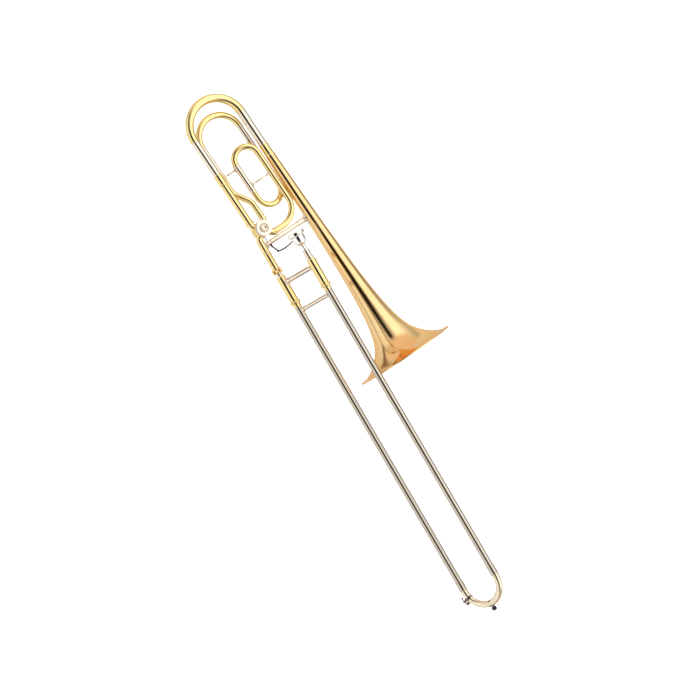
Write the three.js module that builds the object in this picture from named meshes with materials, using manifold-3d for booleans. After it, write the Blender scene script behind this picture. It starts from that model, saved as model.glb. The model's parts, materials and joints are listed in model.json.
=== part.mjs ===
// Tenor trombone with an F attachment, in millimetres.
// +X runs forward along the hand slide, +Z is up, +Y is the player's left, where the bell hangs.
// The origin is the middle of the hand grip: the centre of the inner slide brace.
import * as THREE from "three";
import { mergeVertices } from "three/addons/utils/BufferGeometryUtils.js";
import Module from "manifold-3d";

const wasm = await Module();
wasm.setup();

const GAP = 0.3; // between soldered neighbours

// ---- hand slide ----
const SLIDE_HALF = 44; // slide tube axis above and below the origin
const INNER_TUBE = { outer: 6.8, bore: 6.3 };
const OUTER_TUBE = { outer: 7.6, bore: 7.1, start: 20, end: 705 };
const INNER_TUBE_END = 700;
const BARREL = { start: -16, end: 41, outer: 9.5, bore: 8.5 };
const RING = { start: BARREL.end + GAP, end: 48, outer: 11.4, bore: 8.1 };
const END_SLEEVE_END = 56;
const OUTER_BRACE_X = 64.4;
const BOW_SLEEVE = { start: 694, end: 714, outer: 8.4, bore: 7.85 };
const SLIDE_BOW = { centre: 717.4, outer: 7.3, bore: 6.5 };
const BUMPER_TIP = 778.5;
const WATER_KEY_ANGLE = 20; // degrees round the bow from its lower leg
const RECEIVER_END = -36;
const MOUTHPIECE_RIM = -77;
const LOCK_NUT = { start: -33, end: -22, outer: 10.7 };

// ---- bell section ----
// Its own frame is x forward, q across from the neckpipe to the bell, h out of that plane.
const BELL_ORIGIN_X = -85;
const GOOSE_START = BELL_ORIGIN_X - 9.2; // along the slide axis
const BELL_PLANE_TILT = 35; // degrees of q above level
const BELL_SECTION_PITCH = 3.8; // degrees between the bell axis and the slide axis
const AXIS_OFFSET = 4; // q of the neckpipe above the slide axis, at x = 0
const BELL_Q = 117;
const BELL_RIM_X = 342;
const BELL_RIM = 105.5;
const BELL_TAIL_X = -145.7;
const BELL_WALL = 0.8;
const FLARE_LENGTH = 17;
const FLARE_POWER = 0.685;

const TUNING_END = -250; // where the tuning bow starts
const TUNING_SLEEVE_END = -170;
const NECK = { outer: 7.8, bore: 7.0 };
const TUNING_BOW = { outer: 9.1, bore: 8.3 };

const F_TUBE = { outer: 6.6, bore: 5.9 };
const F_SLIDE_START = -228.8;
const F_SLEEVE_END = -165;
const F_UPPER = { q: 102.8, h: -17 };
const F_LOWER = { q: 11.4, h: -17 };
const LOOP = { q: 46, h: -6 };
const F_TOP = { q: 97, h: 3 };
const LOOP_TUBE_END = -102;
const TOP_BOW_X = -163;
const BOTTOM_BOW_X = -88;

const VALVE = { x: -30, q: 14, outer: 17, chamber: 14.6, low: -16, high: 14 };
const ROTOR = { outer: 14.2, passage: 5.4 };
const PORT_BORE = 5.9;
const KNUCKLE = { outer: 7.4, bend: 8 };
const BRACE_X = 1;

const LEVER = { x: 3, h: -13, armQ: 20, restTilt: 19.3 };
const STOP_ARM_RADIUS = 7;
const LINK_H = -27.6;

const round = Math.PI * 2;
const rad = THREE.MathUtils.degToRad;
const vec = (x, y, z) => new THREE.Vector3(x, y, z);

// ---- shape helpers ----

function signedVolume(geometry) {
  const p = geometry.attributes.position;
  const index = geometry.index.array;
  const [a, b, c] = [vec(), vec(), vec()];
  let sum = 0;
  for (let i = 0; i < index.length; i += 3) {
    a.fromBufferAttribute(p, index[i]);
    b.fromBufferAttribute(p, index[i + 1]);
    c.fromBufferAttribute(p, index[i + 2]);
    sum += a.dot(b.cross(c));
  }
  return sum / 6;
}

// Welds shared vertices and turns the faces outwards.
function tidy(geometry) {
  geometry.deleteAttribute("normal");
  geometry.deleteAttribute("uv");
  const welded = mergeVertices(geometry, 1e-4);
  if (signedVolume(welded) < 0) welded.index.array.reverse();
  welded.computeVertexNormals();
  return welded;
}

// A turned piece on the X axis. The profile is a list of [x, radius].
function turned(profile, sides = 16) {
  const points = profile.map(([x, r]) => new THREE.Vector2(r, x));
  const touchesAxis = points[0].x === 0 && points.at(-1).x === 0;
  if (!touchesAxis) points.push(points[0].clone());
  return tidy(new THREE.LatheGeometry(points, sides).rotateZ(-Math.PI / 2));
}

function tube(start, end, outer, bore, sides = 16) {
  return turned([[start, bore], [start, outer], [end, outer], [end, bore]], sides);
}

function rod(start, end, radius, sides = 12) {
  return turned([[start, 0], [start, radius], [end, radius], [end, 0]], sides);
}

function block(low, high) {
  const size = high.map((v, i) => v - low[i]);
  const middle = high.map((v, i) => (v + low[i]) / 2);
  return tidy(new THREE.BoxGeometry(...size).translate(...middle));
}

// A route of straight runs joined by round bends, with stations only where it bends.
class Route extends THREE.Curve {
  constructor(stations) {
    super();
    this.stations = stations;
  }
  getUtoTmapping(u) {
    return u;
  }
  getPoint(t, target = vec()) {
    const at = t * (this.stations.length - 1);
    const i = Math.min(Math.floor(at + 1e-6), this.stations.length - 2);
    return target.lerpVectors(this.stations[i].point, this.stations[i + 1].point, at - i);
  }
  getTangent(t, target = vec()) {
    const i = Math.round(t * (this.stations.length - 1));
    return target.copy(this.stations[i].heading);
  }
}

function route(points, bend, degreesPerStep = 18) {
  const corners = points.map((p) => vec(...p));
  const headings = corners.slice(1).map((p, i) => p.clone().sub(corners[i]).normalize());
  const stations = [{ point: corners[0], heading: headings[0] }];
  for (let i = 1; i < corners.length - 1; i++) {
    const [before, after] = [headings[i - 1], headings[i]];
    const angle = before.angleTo(after);
    const reach = bend * Math.tan(angle / 2);
    const inward = after.clone().addScaledVector(before, -after.dot(before)).normalize();
    const start = corners[i].clone().addScaledVector(before, -reach);
    const steps = Math.max(2, Math.ceil(angle / rad(degreesPerStep)));
    for (let k = 0; k <= steps; k++) {
      const a = (angle * k) / steps;
      const point = start.clone()
        .addScaledVector(before, bend * Math.sin(a))
        .addScaledVector(inward, bend * (1 - Math.cos(a)));
      if (point.distanceTo(stations.at(-1).point) < 0.01) continue;
      const heading = before.clone().multiplyScalar(Math.cos(a)).addScaledVector(inward, Math.sin(a));
      stations.push({ point, heading });
    }
  }
  const point = corners.at(-1);
  if (point.distanceTo(stations.at(-1).point) > 0.01) {
    stations.push({ point, heading: headings.at(-1) });
  }
  return new Route(stations);
}

function circle(radius, sides) {
  return Array.from({ length: sides }, (_, i) => {
    const a = (round * i) / sides;
    return new THREE.Vector2(radius * Math.cos(a), radius * Math.sin(a));
  });
}

// A pipe along a route; a bore of 0 leaves it solid.
function pipe(path, outer, bore = 0, sides = 10) {
  const section = new THREE.Shape(circle(outer, sides));
  if (bore > 0) section.holes.push(new THREE.Path(circle(bore, sides)));
  const steps = path.stations.length - 1;
  return tidy(new THREE.ExtrudeGeometry(section, { steps, bevelEnabled: false, extrudePath: path }));
}

function toSolid(geometry) {
  const vertProperties = new Float32Array(geometry.attributes.position.array);
  const triVerts = new Uint32Array(geometry.index.array);
  return new wasm.Manifold(new wasm.Mesh({ numProp: 3, vertProperties, triVerts }));
}

function fromSolid(solid) {
  const mesh = solid.getMesh();
  const geometry = new THREE.BufferGeometry();
  geometry.setAttribute("position", new THREE.BufferAttribute(new Float32Array(mesh.vertProperties), 3));
  geometry.setIndex(new THREE.BufferAttribute(new Uint32Array(mesh.triVerts), 1));
  geometry.computeVertexNormals();
  return geometry;
}

function joined(...geometries) {
  return fromSolid(geometries.map(toSolid).reduce((all, one) => all.add(one)));
}

function cut(geometry, ...cutters) {
  return fromSolid(cutters.map(toSolid).reduce((rest, one) => rest.subtract(one), toSolid(geometry)));
}

// Turns a piece made along +X to run from a point in a direction.
function aimed(geometry, from, direction) {
  const turn = new THREE.Quaternion().setFromUnitVectors(vec(1, 0, 0), direction.clone().normalize());
  return geometry.applyQuaternion(turn).translate(from.x, from.y, from.z);
}

// ---- materials ----

const finishes = {
  yellowBrass: { color: "#e8cf86", roughness: 0.16, metalness: 1 },
  roseBrass: { color: "#dba56a", roughness: 0.16, metalness: 1 },
  nickelSilver: { color: "#d3cbc2", roughness: 0.18, metalness: 1 },
  silverPlate: { color: "#e9e9e8", roughness: 0.1, metalness: 1 },
  blackRubber: { color: "#1d1c1b", roughness: 0.7, metalness: 0 },
  cork: { color: "#a98358", roughness: 0.9, metalness: 0 },
};

function piece(parent, name, finish, geometry) {
  const mesh = new THREE.Mesh(geometry, new THREE.MeshStandardMaterial(finishes[finish]));
  mesh.name = name;
  parent.add(mesh);
  return mesh;
}

const trombone = new THREE.Group();

// ---- hand slide: inner part, held in the hand ----

function sidePiece(side, name, finish, geometry) {
  const mesh = piece(trombone, `${side}_${name}`, finish, geometry);
  mesh.position.z = side === "upper" ? SLIDE_HALF : -SLIDE_HALF;
}

const barrelProfile = [
  [BARREL.start, 7.2],
  [BARREL.start, 8],
  [BARREL.start + 3, BARREL.outer],
  [BARREL.end, BARREL.outer],
  [BARREL.end, BARREL.bore],
  [BARREL.start + 4, BARREL.bore],
  [BARREL.start + 4, 7.2],
];

for (const side of ["upper", "lower"]) {
  const innerTube = tube(BARREL.start + GAP, INNER_TUBE_END, INNER_TUBE.outer, INNER_TUBE.bore);
  sidePiece(side, "inner_tube", "nickelSilver", innerTube);
  sidePiece(side, "cork_barrel", "yellowBrass", turned(barrelProfile));
  sidePiece(side, "barrel_cork", "cork", tube(BARREL.start + 5, OUTER_TUBE.start - 2, 8.2, 7.2));
}

const ringProfile = [
  [RING.start, RING.bore],
  [RING.start, RING.outer - 1.2],
  [RING.start + 1.2, RING.outer],
  [RING.end - 1.2, RING.outer],
  [RING.end, RING.outer - 1.2],
  [RING.end, RING.bore],
];
sidePiece("upper", "barrel_ring", "yellowBrass", turned(ringProfile));

// The lower ring turns, and its notch lets the catch on the outer slide pass.
const notch = block([RING.end - 2.5, -1.6, RING.bore - 1], [RING.end + 1, 1.6, RING.outer + 1]);
const lockRing = piece(trombone, "slide_lock_ring", "yellowBrass", cut(turned(ringProfile), notch));
lockRing.position.z = -SLIDE_HALF;

const innerBraceHalf = SLIDE_HALF - BARREL.outer - GAP;
const innerBrace = turned([
  [-innerBraceHalf, 0],
  [-innerBraceHalf, 7.4],
  [-innerBraceHalf + 2, 5.9],
  [-24, 5.9],
  [-23.4, 5.3],
  [innerBraceHalf - 2.5, 5.3],
  [innerBraceHalf, 7.2],
  [innerBraceHalf, 0],
]);
piece(trombone, "inner_brace", "nickelSilver", aimed(innerBrace, vec(0, 0, 0), vec(0, 0, 1)));

const receiver = turned([
  [RECEIVER_END, 6],
  [RECEIVER_END, 7.6],
  [RECEIVER_END + 1, 8.1],
  [RECEIVER_END + 3, 8.1],
  [RECEIVER_END + 4, 7.4],
  [BARREL.start - GAP, 7.4],
  [BARREL.start - GAP, 6],
]);
piece(trombone, "mouthpiece_receiver", "nickelSilver", receiver).position.z = SLIDE_HALF;

const tenon = tube(-60, BARREL.start - GAP, 6.5, 5.8);
piece(trombone, "slide_tenon", "nickelSilver", tenon).position.z = -SLIDE_HALF;

const mouthpiece = turned([
  [MOUTHPIECE_RIM, 13.2],
  [MOUTHPIECE_RIM, 16.6],
  [-76, 18.2],
  [-73.5, 18.8],
  [-70.5, 18.6],
  [-67.5, 15.6],
  [-66, 14.2],
  [-56, 13.6],
  [-51, 10.4],
  [-47, 5.6],
  [-43.5, 4.6],
  [-38, 5.5],
  [-14, 5],
  [-14, 4.2],
  [-50, 3],
  [-53, 4.6],
  [-60, 10.2],
  [-68, 12],
  [-75.5, 12.6],
], 18);
piece(trombone, "mouthpiece", "silverPlate", mouthpiece).position.z = SLIDE_HALF;

const lockNut = turned([
  [LOCK_NUT.start, 8.35],
  [LOCK_NUT.start, 10.1],
  [LOCK_NUT.start + 1, LOCK_NUT.outer],
  [LOCK_NUT.end - 1, LOCK_NUT.outer],
  [LOCK_NUT.end, 10.1],
  [LOCK_NUT.end, 6.95],
  [LOCK_NUT.end - 2.4, 6.95],
  [LOCK_NUT.end - 2.4, 8.35],
], 20);
piece(trombone, "bell_lock_nut", "roseBrass", lockNut).position.z = -SLIDE_HALF;

// ---- hand slide: outer part ----

for (const side of ["upper", "lower"]) {
  const { start, end, outer, bore } = OUTER_TUBE;
  sidePiece(side, "outer_tube", "nickelSilver", tube(start, end, outer, bore));
  const sleeve = BOW_SLEEVE;
  sidePiece(side, "bow_sleeve", "nickelSilver", tube(sleeve.start, sleeve.end, sleeve.outer, sleeve.bore));
}

const endSleeve = tube(RING.end + GAP + 0.2, END_SLEEVE_END, 8.4, 7.85);
const lockCatch = block([RING.end + 0.8, -1.2, 8.1], [RING.end + 3.4, 1.2, 10.4]);
sidePiece("upper", "end_sleeve", "yellowBrass", endSleeve);
sidePiece("lower", "end_sleeve", "yellowBrass", joined(endSleeve, lockCatch));

const outerBraceHalf = SLIDE_HALF - OUTER_TUBE.outer - GAP;
const outerBrace = turned([
  [-outerBraceHalf, 0],
  [-outerBraceHalf, 6.2],
  [-outerBraceHalf + 2, 5],
  [-30.2, 5],
  [-29.8, 4.5],
  [outerBraceHalf - 4, 4.5],
  [outerBraceHalf - 2, 5],
  [outerBraceHalf, 6.2],
  [outerBraceHalf, 0],
]);
piece(trombone, "outer_brace", "nickelSilver", aimed(outerBrace, vec(OUTER_BRACE_X, 0, 0), vec(0, 0, 1)));

const bowApex = SLIDE_BOW.centre + SLIDE_HALF;
const bowLeg = OUTER_TUBE.end + GAP;
const bowPath = route(
  [[bowLeg, 0, SLIDE_HALF], [bowApex, 0, SLIDE_HALF], [bowApex, 0, -SLIDE_HALF], [bowLeg, 0, -SLIDE_HALF]],
  SLIDE_HALF,
  15,
);
piece(trombone, "slide_bow", "nickelSilver", pipe(bowPath, SLIDE_BOW.outer, SLIDE_BOW.bore, 12));

const bumperFoot = bowApex + SLIDE_BOW.outer + GAP;
piece(trombone, "bumper_stem", "nickelSilver", turned([
  [bumperFoot, 0],
  [bumperFoot, 4],
  [bumperFoot + 0.8, 4],
  [bumperFoot + 0.8, 2.4],
  [bumperFoot + 4.5, 2.4],
  [bumperFoot + 4.5, 0],
]));
piece(trombone, "rubber_bumper", "blackRubber", turned([
  [bumperFoot + 1.2, 2.8],
  [bumperFoot + 1.2, 4.4],
  [bumperFoot + 2.2, 5.3],
  [BUMPER_TIP - 1.6, 5.3],
  [BUMPER_TIP, 3.7],
  [BUMPER_TIP, 0],
  [bumperFoot + 5, 0],
  [bumperFoot + 5, 2.8],
]));

// The water key sits on the outside of the bow: t runs round the bow, r out of it.
const keyFrame = new THREE.Group();
const keyAngle = rad(WATER_KEY_ANGLE);
const keyTangent = vec(Math.cos(keyAngle), 0, Math.sin(keyAngle));
const keyOut = vec(Math.sin(keyAngle), 0, -Math.cos(keyAngle));
keyFrame.quaternion.setFromRotationMatrix(new THREE.Matrix4().makeBasis(keyTangent, vec(0, -1, 0), keyOut));
keyFrame.position.set(SLIDE_BOW.centre, 0, 0).addScaledVector(keyOut, SLIDE_HALF + SLIDE_BOW.outer);
trombone.add(keyFrame);
const NIPPLE_T = 5.5;
const KEY_PIVOT = { t: -2, r: 6 };
const across = vec(0, 1, 0);
const outward = vec(0, 0, 1);

function keyPin(radius, half) {
  return aimed(rod(-half, half, radius, 12), vec(KEY_PIVOT.t, 0, KEY_PIVOT.r), across);
}

const keyMount = joined(
  block([-8, -3.6, 0.4], [8.5, 3.6, 1.4]),
  aimed(rod(0.6, 4, 2.9), vec(NIPPLE_T, 0, 0), outward),
  block([-4, 2.3, 0.9], [0, 3.6, 7.8]),
  block([-4, -3.6, 0.9], [0, -2.3, 7.8]),
);
const nippleBore = aimed(rod(0, 5, 1.5, 12), vec(NIPPLE_T, 0, 0), outward);
piece(keyFrame, "water_key_mount", "nickelSilver", cut(keyMount, nippleBore, keyPin(1.2, 6)));
piece(keyFrame, "water_key_pin", "nickelSilver", keyPin(0.8, 4.6));

const keyCap = aimed(rod(5.9, 8, 3.6), vec(NIPPLE_T, 0, 0), outward);
const keyArm = pipe(route([[-10, 0, 6.4], [-6, 0, 8], [6, 0, 7.4]], 6), 1.2, 0, 8);
const keyHorn = pipe(route([[KEY_PIVOT.t, 0, 6.6], [-2.4, 0, 9.5], [-3.8, 0, 12]], 3), 1.1, 0, 8);
const keyKnob = tidy(new THREE.SphereGeometry(2.3, 8, 6).translate(-10.4, 0, 6.2));
const keyBarrel = keyPin(2.1, 1.9);
const keyLever = joined(keyBarrel, keyCap, keyArm, keyHorn, keyKnob);
piece(keyFrame, "water_key_lever", "nickelSilver", cut(keyLever, keyPin(1.2, 3)));
piece(keyFrame, "water_key_cork", "cork", aimed(rod(4.3, 5.6, 2.9), vec(NIPPLE_T, 0, 0), outward));

// ---- bell section ----

const plane = rad(BELL_PLANE_TILT);
const pitch = rad(BELL_SECTION_PITCH);
const qFlat = vec(0, Math.cos(plane), Math.sin(plane));
const hAxis = vec(0, -Math.sin(plane), Math.cos(plane));
const xAxis = vec(Math.cos(pitch), 0, 0).addScaledVector(qFlat, Math.sin(pitch));
const qAxis = vec(-Math.sin(pitch), 0, 0).addScaledVector(qFlat, Math.cos(pitch));
const bellSection = new THREE.Group();
bellSection.quaternion.setFromRotationMatrix(new THREE.Matrix4().makeBasis(xAxis, qAxis, hAxis));
bellSection.position.set(BELL_ORIGIN_X, 0, -SLIDE_HALF).addScaledVector(qFlat, AXIS_OFFSET);
trombone.add(bellSection);

// The hand slide's lower axis, written in the bell section's frame.
const slideHeading = vec(Math.cos(pitch), -Math.sin(pitch), 0);
const slideOffset = vec(-AXIS_OFFSET * Math.sin(pitch), -AXIS_OFFSET * Math.cos(pitch), 0);
const onSlideAxis = (rowX) => slideOffset.clone().addScaledVector(slideHeading, rowX - BELL_ORIGIN_X);

function straight(name, finish, q, h, geometry) {
  piece(bellSection, name, finish, geometry).position.set(0, q, h);
}

const receiverStart = -70;
const bellReceiver = tube(receiverStart, LOCK_NUT.end - 3, 8, 6.95);
piece(trombone, "slide_receiver", "yellowBrass", bellReceiver).position.z = -SLIDE_HALF;

// Bell: a flaring tube with a rolled bead at the rim.
function bellRadius(x) {
  const back = BELL_RIM_X - x;
  const fullness = 2.5 * Math.exp(-(((back - 24) / 18) ** 2));
  const rimFade = Math.min(1, back / 10);
  return BELL_RIM * (FLARE_LENGTH / (back + FLARE_LENGTH)) ** FLARE_POWER + fullness * rimFade;
}

function bellProfile(steps) {
  const length = BELL_RIM_X - BELL_TAIL_X;
  const stations = Array.from({ length: steps + 1 }, (_, i) => BELL_RIM_X - length * (i / steps) ** 2.6);
  const outside = stations.map((x) => [x, bellRadius(x)]);
  const wallAt = (x) => BELL_WALL * (1 + 22 / (BELL_RIM_X - x + 12));
  const inside = stations.slice(1).map((x) => [x, bellRadius(x) - wallAt(x)]);
  const bead = [
    [BELL_RIM_X + 1.4, BELL_RIM - 1.2],
    [BELL_RIM_X + 1.4, BELL_RIM - 3],
    [BELL_RIM_X, BELL_RIM - 4],
  ];
  return [...outside.reverse(), ...bead, ...inside];
}
straight("bell", "roseBrass", BELL_Q, 0, turned(bellProfile(14), 32));

// Main tuning slide, in the bell's main line
const tuningHalf = BELL_Q / 2;
const tuningApex = TUNING_END - tuningHalf;
const tuningPath = route(
  [[TUNING_END, 0, 0], [tuningApex, 0, 0], [tuningApex, BELL_Q, 0], [TUNING_END, BELL_Q, 0]],
  tuningHalf,
  15,
);
piece(bellSection, "tuning_bow", "yellowBrass", pipe(tuningPath, TUNING_BOW.outer, TUNING_BOW.bore, 12));

const FERRULE_END = -224;
straight("bell_side_leg", "nickelSilver", BELL_Q, 0, turned([
  [TUNING_END + GAP, 8],
  [TUNING_END + GAP, 9.9],
  [FERRULE_END, 9.9],
  [FERRULE_END, 8.7],
  [-158, 8.7],
  [-158, 8],
]));
straight("neck_side_leg", "nickelSilver", 0, 0, tube(TUNING_END + GAP, -184, 7.2, 6.6));
const bellSleeve = tube(FERRULE_END + GAP, TUNING_SLEEVE_END - GAP, 9.7, 9);
straight("bell_sleeve", "nickelSilver", BELL_Q, 0, bellSleeve);
straight("bell_sleeve_ferrule", "yellowBrass", BELL_Q, 0, tube(TUNING_SLEEVE_END, -146, 10, 9));
straight("neck_sleeve", "nickelSilver", 0, 0, tube(TUNING_END + GAP, TUNING_SLEEVE_END - GAP, 8.3, 7.5));

const knuckleEnd = -47.6;
straight("neckpipe", "yellowBrass", 0, 0, turned([
  [TUNING_SLEEVE_END, NECK.bore],
  [TUNING_SLEEVE_END, 8.7],
  [-146, 8.7],
  [-145, NECK.outer],
  [-57, NECK.outer],
  [-56, 8.9],
  [knuckleEnd - GAP, 8.9],
  [knuckleEnd - GAP, NECK.bore],
]));

// ---- rotary valve ----

const valveCentre = vec(VALVE.x, VALVE.q, 0);
const outOfPlane = vec(0, 0, 1);
const portDirection = (degrees) => vec(Math.cos(rad(degrees)), Math.sin(rad(degrees)), 0);

function portRoute(degrees, reach, end, fromRadius) {
  const direction = portDirection(degrees);
  const start = valveCentre.clone().addScaledVector(direction, fromRadius);
  const corner = valveCentre.clone().addScaledVector(direction, VALVE.outer + reach);
  return route([start, corner, end].map((p) => p.toArray()), KNUCKLE.bend, 15);
}

// Where the slide axis meets the line out of the port, and the three other tubes' first straight runs
const neckEnd = vec(knuckleEnd, 0, 0);
const gooseReach = 7.25;
const gooseEnd = onSlideAxis(GOOSE_START + GAP);
const fUpperX = -12.5;
const fUpperKnuckleEnd = vec(fUpperX, 35, 0);
const fLowerQ = 29;
const fLowerKnuckleEnd = vec(-48.4, fLowerQ, 0);
const ports = [
  { degrees: 225, reach: 2.8, end: neckEnd },
  { degrees: 315, reach: gooseReach, end: gooseEnd },
  { degrees: 45, reach: 7.8, end: fUpperKnuckleEnd },
  { degrees: 135, reach: 4.2, end: fLowerKnuckleEnd },
];

function valveRod(low, high, radius, sides = 24) {
  return aimed(rod(low, high, radius, sides), valveCentre, outOfPlane);
}

const knuckles = ports.map(({ degrees, reach, end }) => {
  return pipe(portRoute(degrees, reach, end, 12), KNUCKLE.outer);
});
const portBores = ports.map(({ degrees, reach, end }) => {
  const corner = valveCentre.clone().addScaledVector(portDirection(degrees), VALVE.outer + reach);
  const onward = end.clone().sub(corner).normalize();
  return pipe(portRoute(degrees, reach, end.clone().add(onward), 9), PORT_BORE);
});
const chamber = valveRod(VALVE.low - 1, VALVE.high + 1, VALVE.chamber);
const casingBody = joined(valveRod(VALVE.low, VALVE.high, VALVE.outer), ...knuckles);
piece(bellSection, "valve_casing", "yellowBrass", cut(casingBody, chamber, ...portBores));

const capProfile = [
  [VALVE.high + GAP, 0],
  [VALVE.high + GAP, 17],
  [VALVE.high + 4, 17],
  [VALVE.high + 5, 15.8],
  [VALVE.high + 5, 11],
  [VALVE.high + 4.2, 9],
  [VALVE.high + 4.2, 6.6],
  [VALVE.high + 6.5, 6],
  [VALVE.high + 7, 4.6],
  [VALVE.high + 6, 0],
];
piece(bellSection, "valve_cap", "nickelSilver", aimed(turned(capProfile, 24), valveCentre, outOfPlane));

const backProfile = [
  [VALVE.low - GAP, 3.5],
  [VALVE.low - GAP, 16.8],
  [VALVE.low - 3, 16.8],
  [VALVE.low - 3.6, 15.6],
  [VALVE.low - 3.6, 6],
  [VALVE.low - 5.6, 5.4],
  [VALVE.low - 5.6, 3.5],
];
const backPlate = aimed(turned(backProfile, 24), valveCentre, outOfPlane);
piece(bellSection, "valve_back_plate", "nickelSilver", backPlate);

const STOP_PLATE = { low: -25.6, high: -22.4 };
const corkReach = 13;
for (const [name, degrees] of [["left_valve_cork", 197], ["right_valve_cork", 343]]) {
  const at = valveCentre.clone().addScaledVector(portDirection(degrees), corkReach);
  piece(bellSection, name, "cork", aimed(rod(-26.5, VALVE.low - 3.9, 2.4, 12), at, outOfPlane));
}

function passage(turn) {
  const reach = 14;
  const path = route([[-reach, -reach, 0], [0, 0, 0], [reach, -reach, 0]], ROTOR.outer, 15);
  return pipe(path, ROTOR.passage).rotateZ(turn).translate(VALVE.x, VALVE.q, 0);
}
const rotorBody = joined(
  valveRod(VALVE.low + GAP, VALVE.high - GAP, ROTOR.outer),
  valveRod(-28.4, VALVE.low + 2, 3, 16),
);
piece(bellSection, "rotor", "yellowBrass", cut(rotorBody, passage(0), passage(Math.PI)));

const armPin = valveCentre.clone().addScaledVector(portDirection(45), STOP_ARM_RADIUS);
const stopMiddle = (STOP_PLATE.low + STOP_PLATE.high) / 2;
const finger = block([4, -2, STOP_PLATE.low], [15, 2, STOP_PLATE.high])
  .rotateZ(rad(225))
  .translate(VALVE.x, VALVE.q, 0);
const stopArm = joined(
  valveRod(STOP_PLATE.low, STOP_PLATE.high, 5.6, 16),
  aimed(rod(STOP_PLATE.low, STOP_PLATE.high, 3), vec(armPin.x, armPin.y, 0), outOfPlane),
  aimed(rod(-29.4, stopMiddle, 1.3, 12), vec(armPin.x, armPin.y, 0), outOfPlane),
  finger,
);
piece(bellSection, "stop_arm", "nickelSilver", cut(stopArm, valveRod(-30, -20, 3.4, 16)));

// ---- gooseneck and bell brace ----

const gooseLow = onSlideAxis(GOOSE_START + 2 * GAP);
const gooseHigh = onSlideAxis(receiverStart - GAP);
const gooseLength = gooseHigh.distanceTo(gooseLow);
piece(bellSection, "gooseneck", "yellowBrass", aimed(turned([
  [0, 6.2],
  [0, 8.4],
  [2.4, 8.4],
  [3.2, 7.6],
  [gooseLength, 7.6],
  [gooseLength, 6.2],
]), gooseLow, slideHeading));

const braceFoot = 4.4;
const bellUnderside = BELL_Q - bellRadius(16);
const brace = aimed(turned([
  [braceFoot, 0],
  [braceFoot, 6],
  [braceFoot + 2, 4.6],
  [16, 4.6],
  [17, 5.2],
  [84, 5.2],
  [84.4, 6],
  [97, 6],
  [99.5, 7.4],
  [bellUnderside - 1, 7.4],
  [bellUnderside - 1, 0],
]), vec(BRACE_X, 0, 0), vec(0, 1, 0));
const flange = block([-14, bellUnderside - 1.8, -5], [16, bellUnderside - 0.5, 5]);
piece(bellSection, "bell_brace", "nickelSilver", joined(brace, flange));

// ---- F attachment tubing ----

const fUpperPath = route([
  [fUpperX, fUpperKnuckleEnd.y + 2 * GAP + 0.1, 0],
  [fUpperX, F_TOP.q, F_TOP.h],
  [TOP_BOW_X, F_TOP.q, F_TOP.h],
], 41.5);
const topRadius = Math.hypot(F_TOP.q - LOOP.q, F_TOP.h - LOOP.h) / 2;
const topApex = TOP_BOW_X - topRadius;
const topBowPath = route([
  [TOP_BOW_X, F_TOP.q, F_TOP.h],
  [topApex, F_TOP.q, F_TOP.h],
  [topApex, LOOP.q, LOOP.h],
  [TOP_BOW_X, LOOP.q, LOOP.h],
], topRadius);
const upperStations = [...fUpperPath.stations, ...topBowPath.stations.slice(1)];
const upperTube = pipe(new Route(upperStations), F_TUBE.outer, F_TUBE.bore);
piece(bellSection, "f_tube_upper", "yellowBrass", upperTube);

straight("loop_tube", "nickelSilver", LOOP.q, LOOP.h, tube(TOP_BOW_X + GAP, LOOP_TUBE_END, 7, 6));

const bottomRadius = Math.hypot(F_UPPER.q - LOOP.q, F_UPPER.h - LOOP.h) / 2;
const bottomApex = BOTTOM_BOW_X + bottomRadius;
const bottomPath = route([
  [LOOP_TUBE_END + GAP, LOOP.q, LOOP.h],
  [bottomApex, LOOP.q, LOOP.h],
  [bottomApex, F_UPPER.q, F_UPPER.h],
  [F_SLEEVE_END + GAP, F_UPPER.q, F_UPPER.h],
], bottomRadius);
piece(bellSection, "bottom_bow", "yellowBrass", pipe(bottomPath, 6.2, 5.6));

const fLowerPath = route([
  [fLowerKnuckleEnd.x - GAP, fLowerQ, 0],
  [-86, fLowerQ, 0],
  [-121, F_LOWER.q, F_LOWER.h],
  [F_SLEEVE_END + GAP, F_LOWER.q, F_LOWER.h],
], 25);
piece(bellSection, "f_tube_lower", "yellowBrass", pipe(fLowerPath, F_TUBE.outer, F_TUBE.bore));

for (const [side, line] of [["upper", F_UPPER], ["lower", F_LOWER]]) {
  const sleeve = tube(F_SLIDE_START + GAP, F_SLEEVE_END, 7, 6.3);
  straight(`f_${side}_sleeve`, "nickelSilver", line.q, line.h, sleeve);
  straight(`f_${side}_leg`, "nickelSilver", line.q, line.h, tube(F_SLIDE_START + GAP, -172, 6, 5.5));
}

const fRadius = Math.hypot(F_UPPER.q - F_LOWER.q, F_UPPER.h - F_LOWER.h) / 2;
const fApex = F_SLIDE_START - fRadius;
const fBowPath = route([
  [F_SLIDE_START, F_UPPER.q, F_UPPER.h],
  [fApex, F_UPPER.q, F_UPPER.h],
  [fApex, F_LOWER.q, F_LOWER.h],
  [F_SLIDE_START, F_LOWER.q, F_LOWER.h],
], fRadius, 15);
piece(bellSection, "f_bow", "yellowBrass", pipe(fBowPath, 6.9, 6.1));

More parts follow.
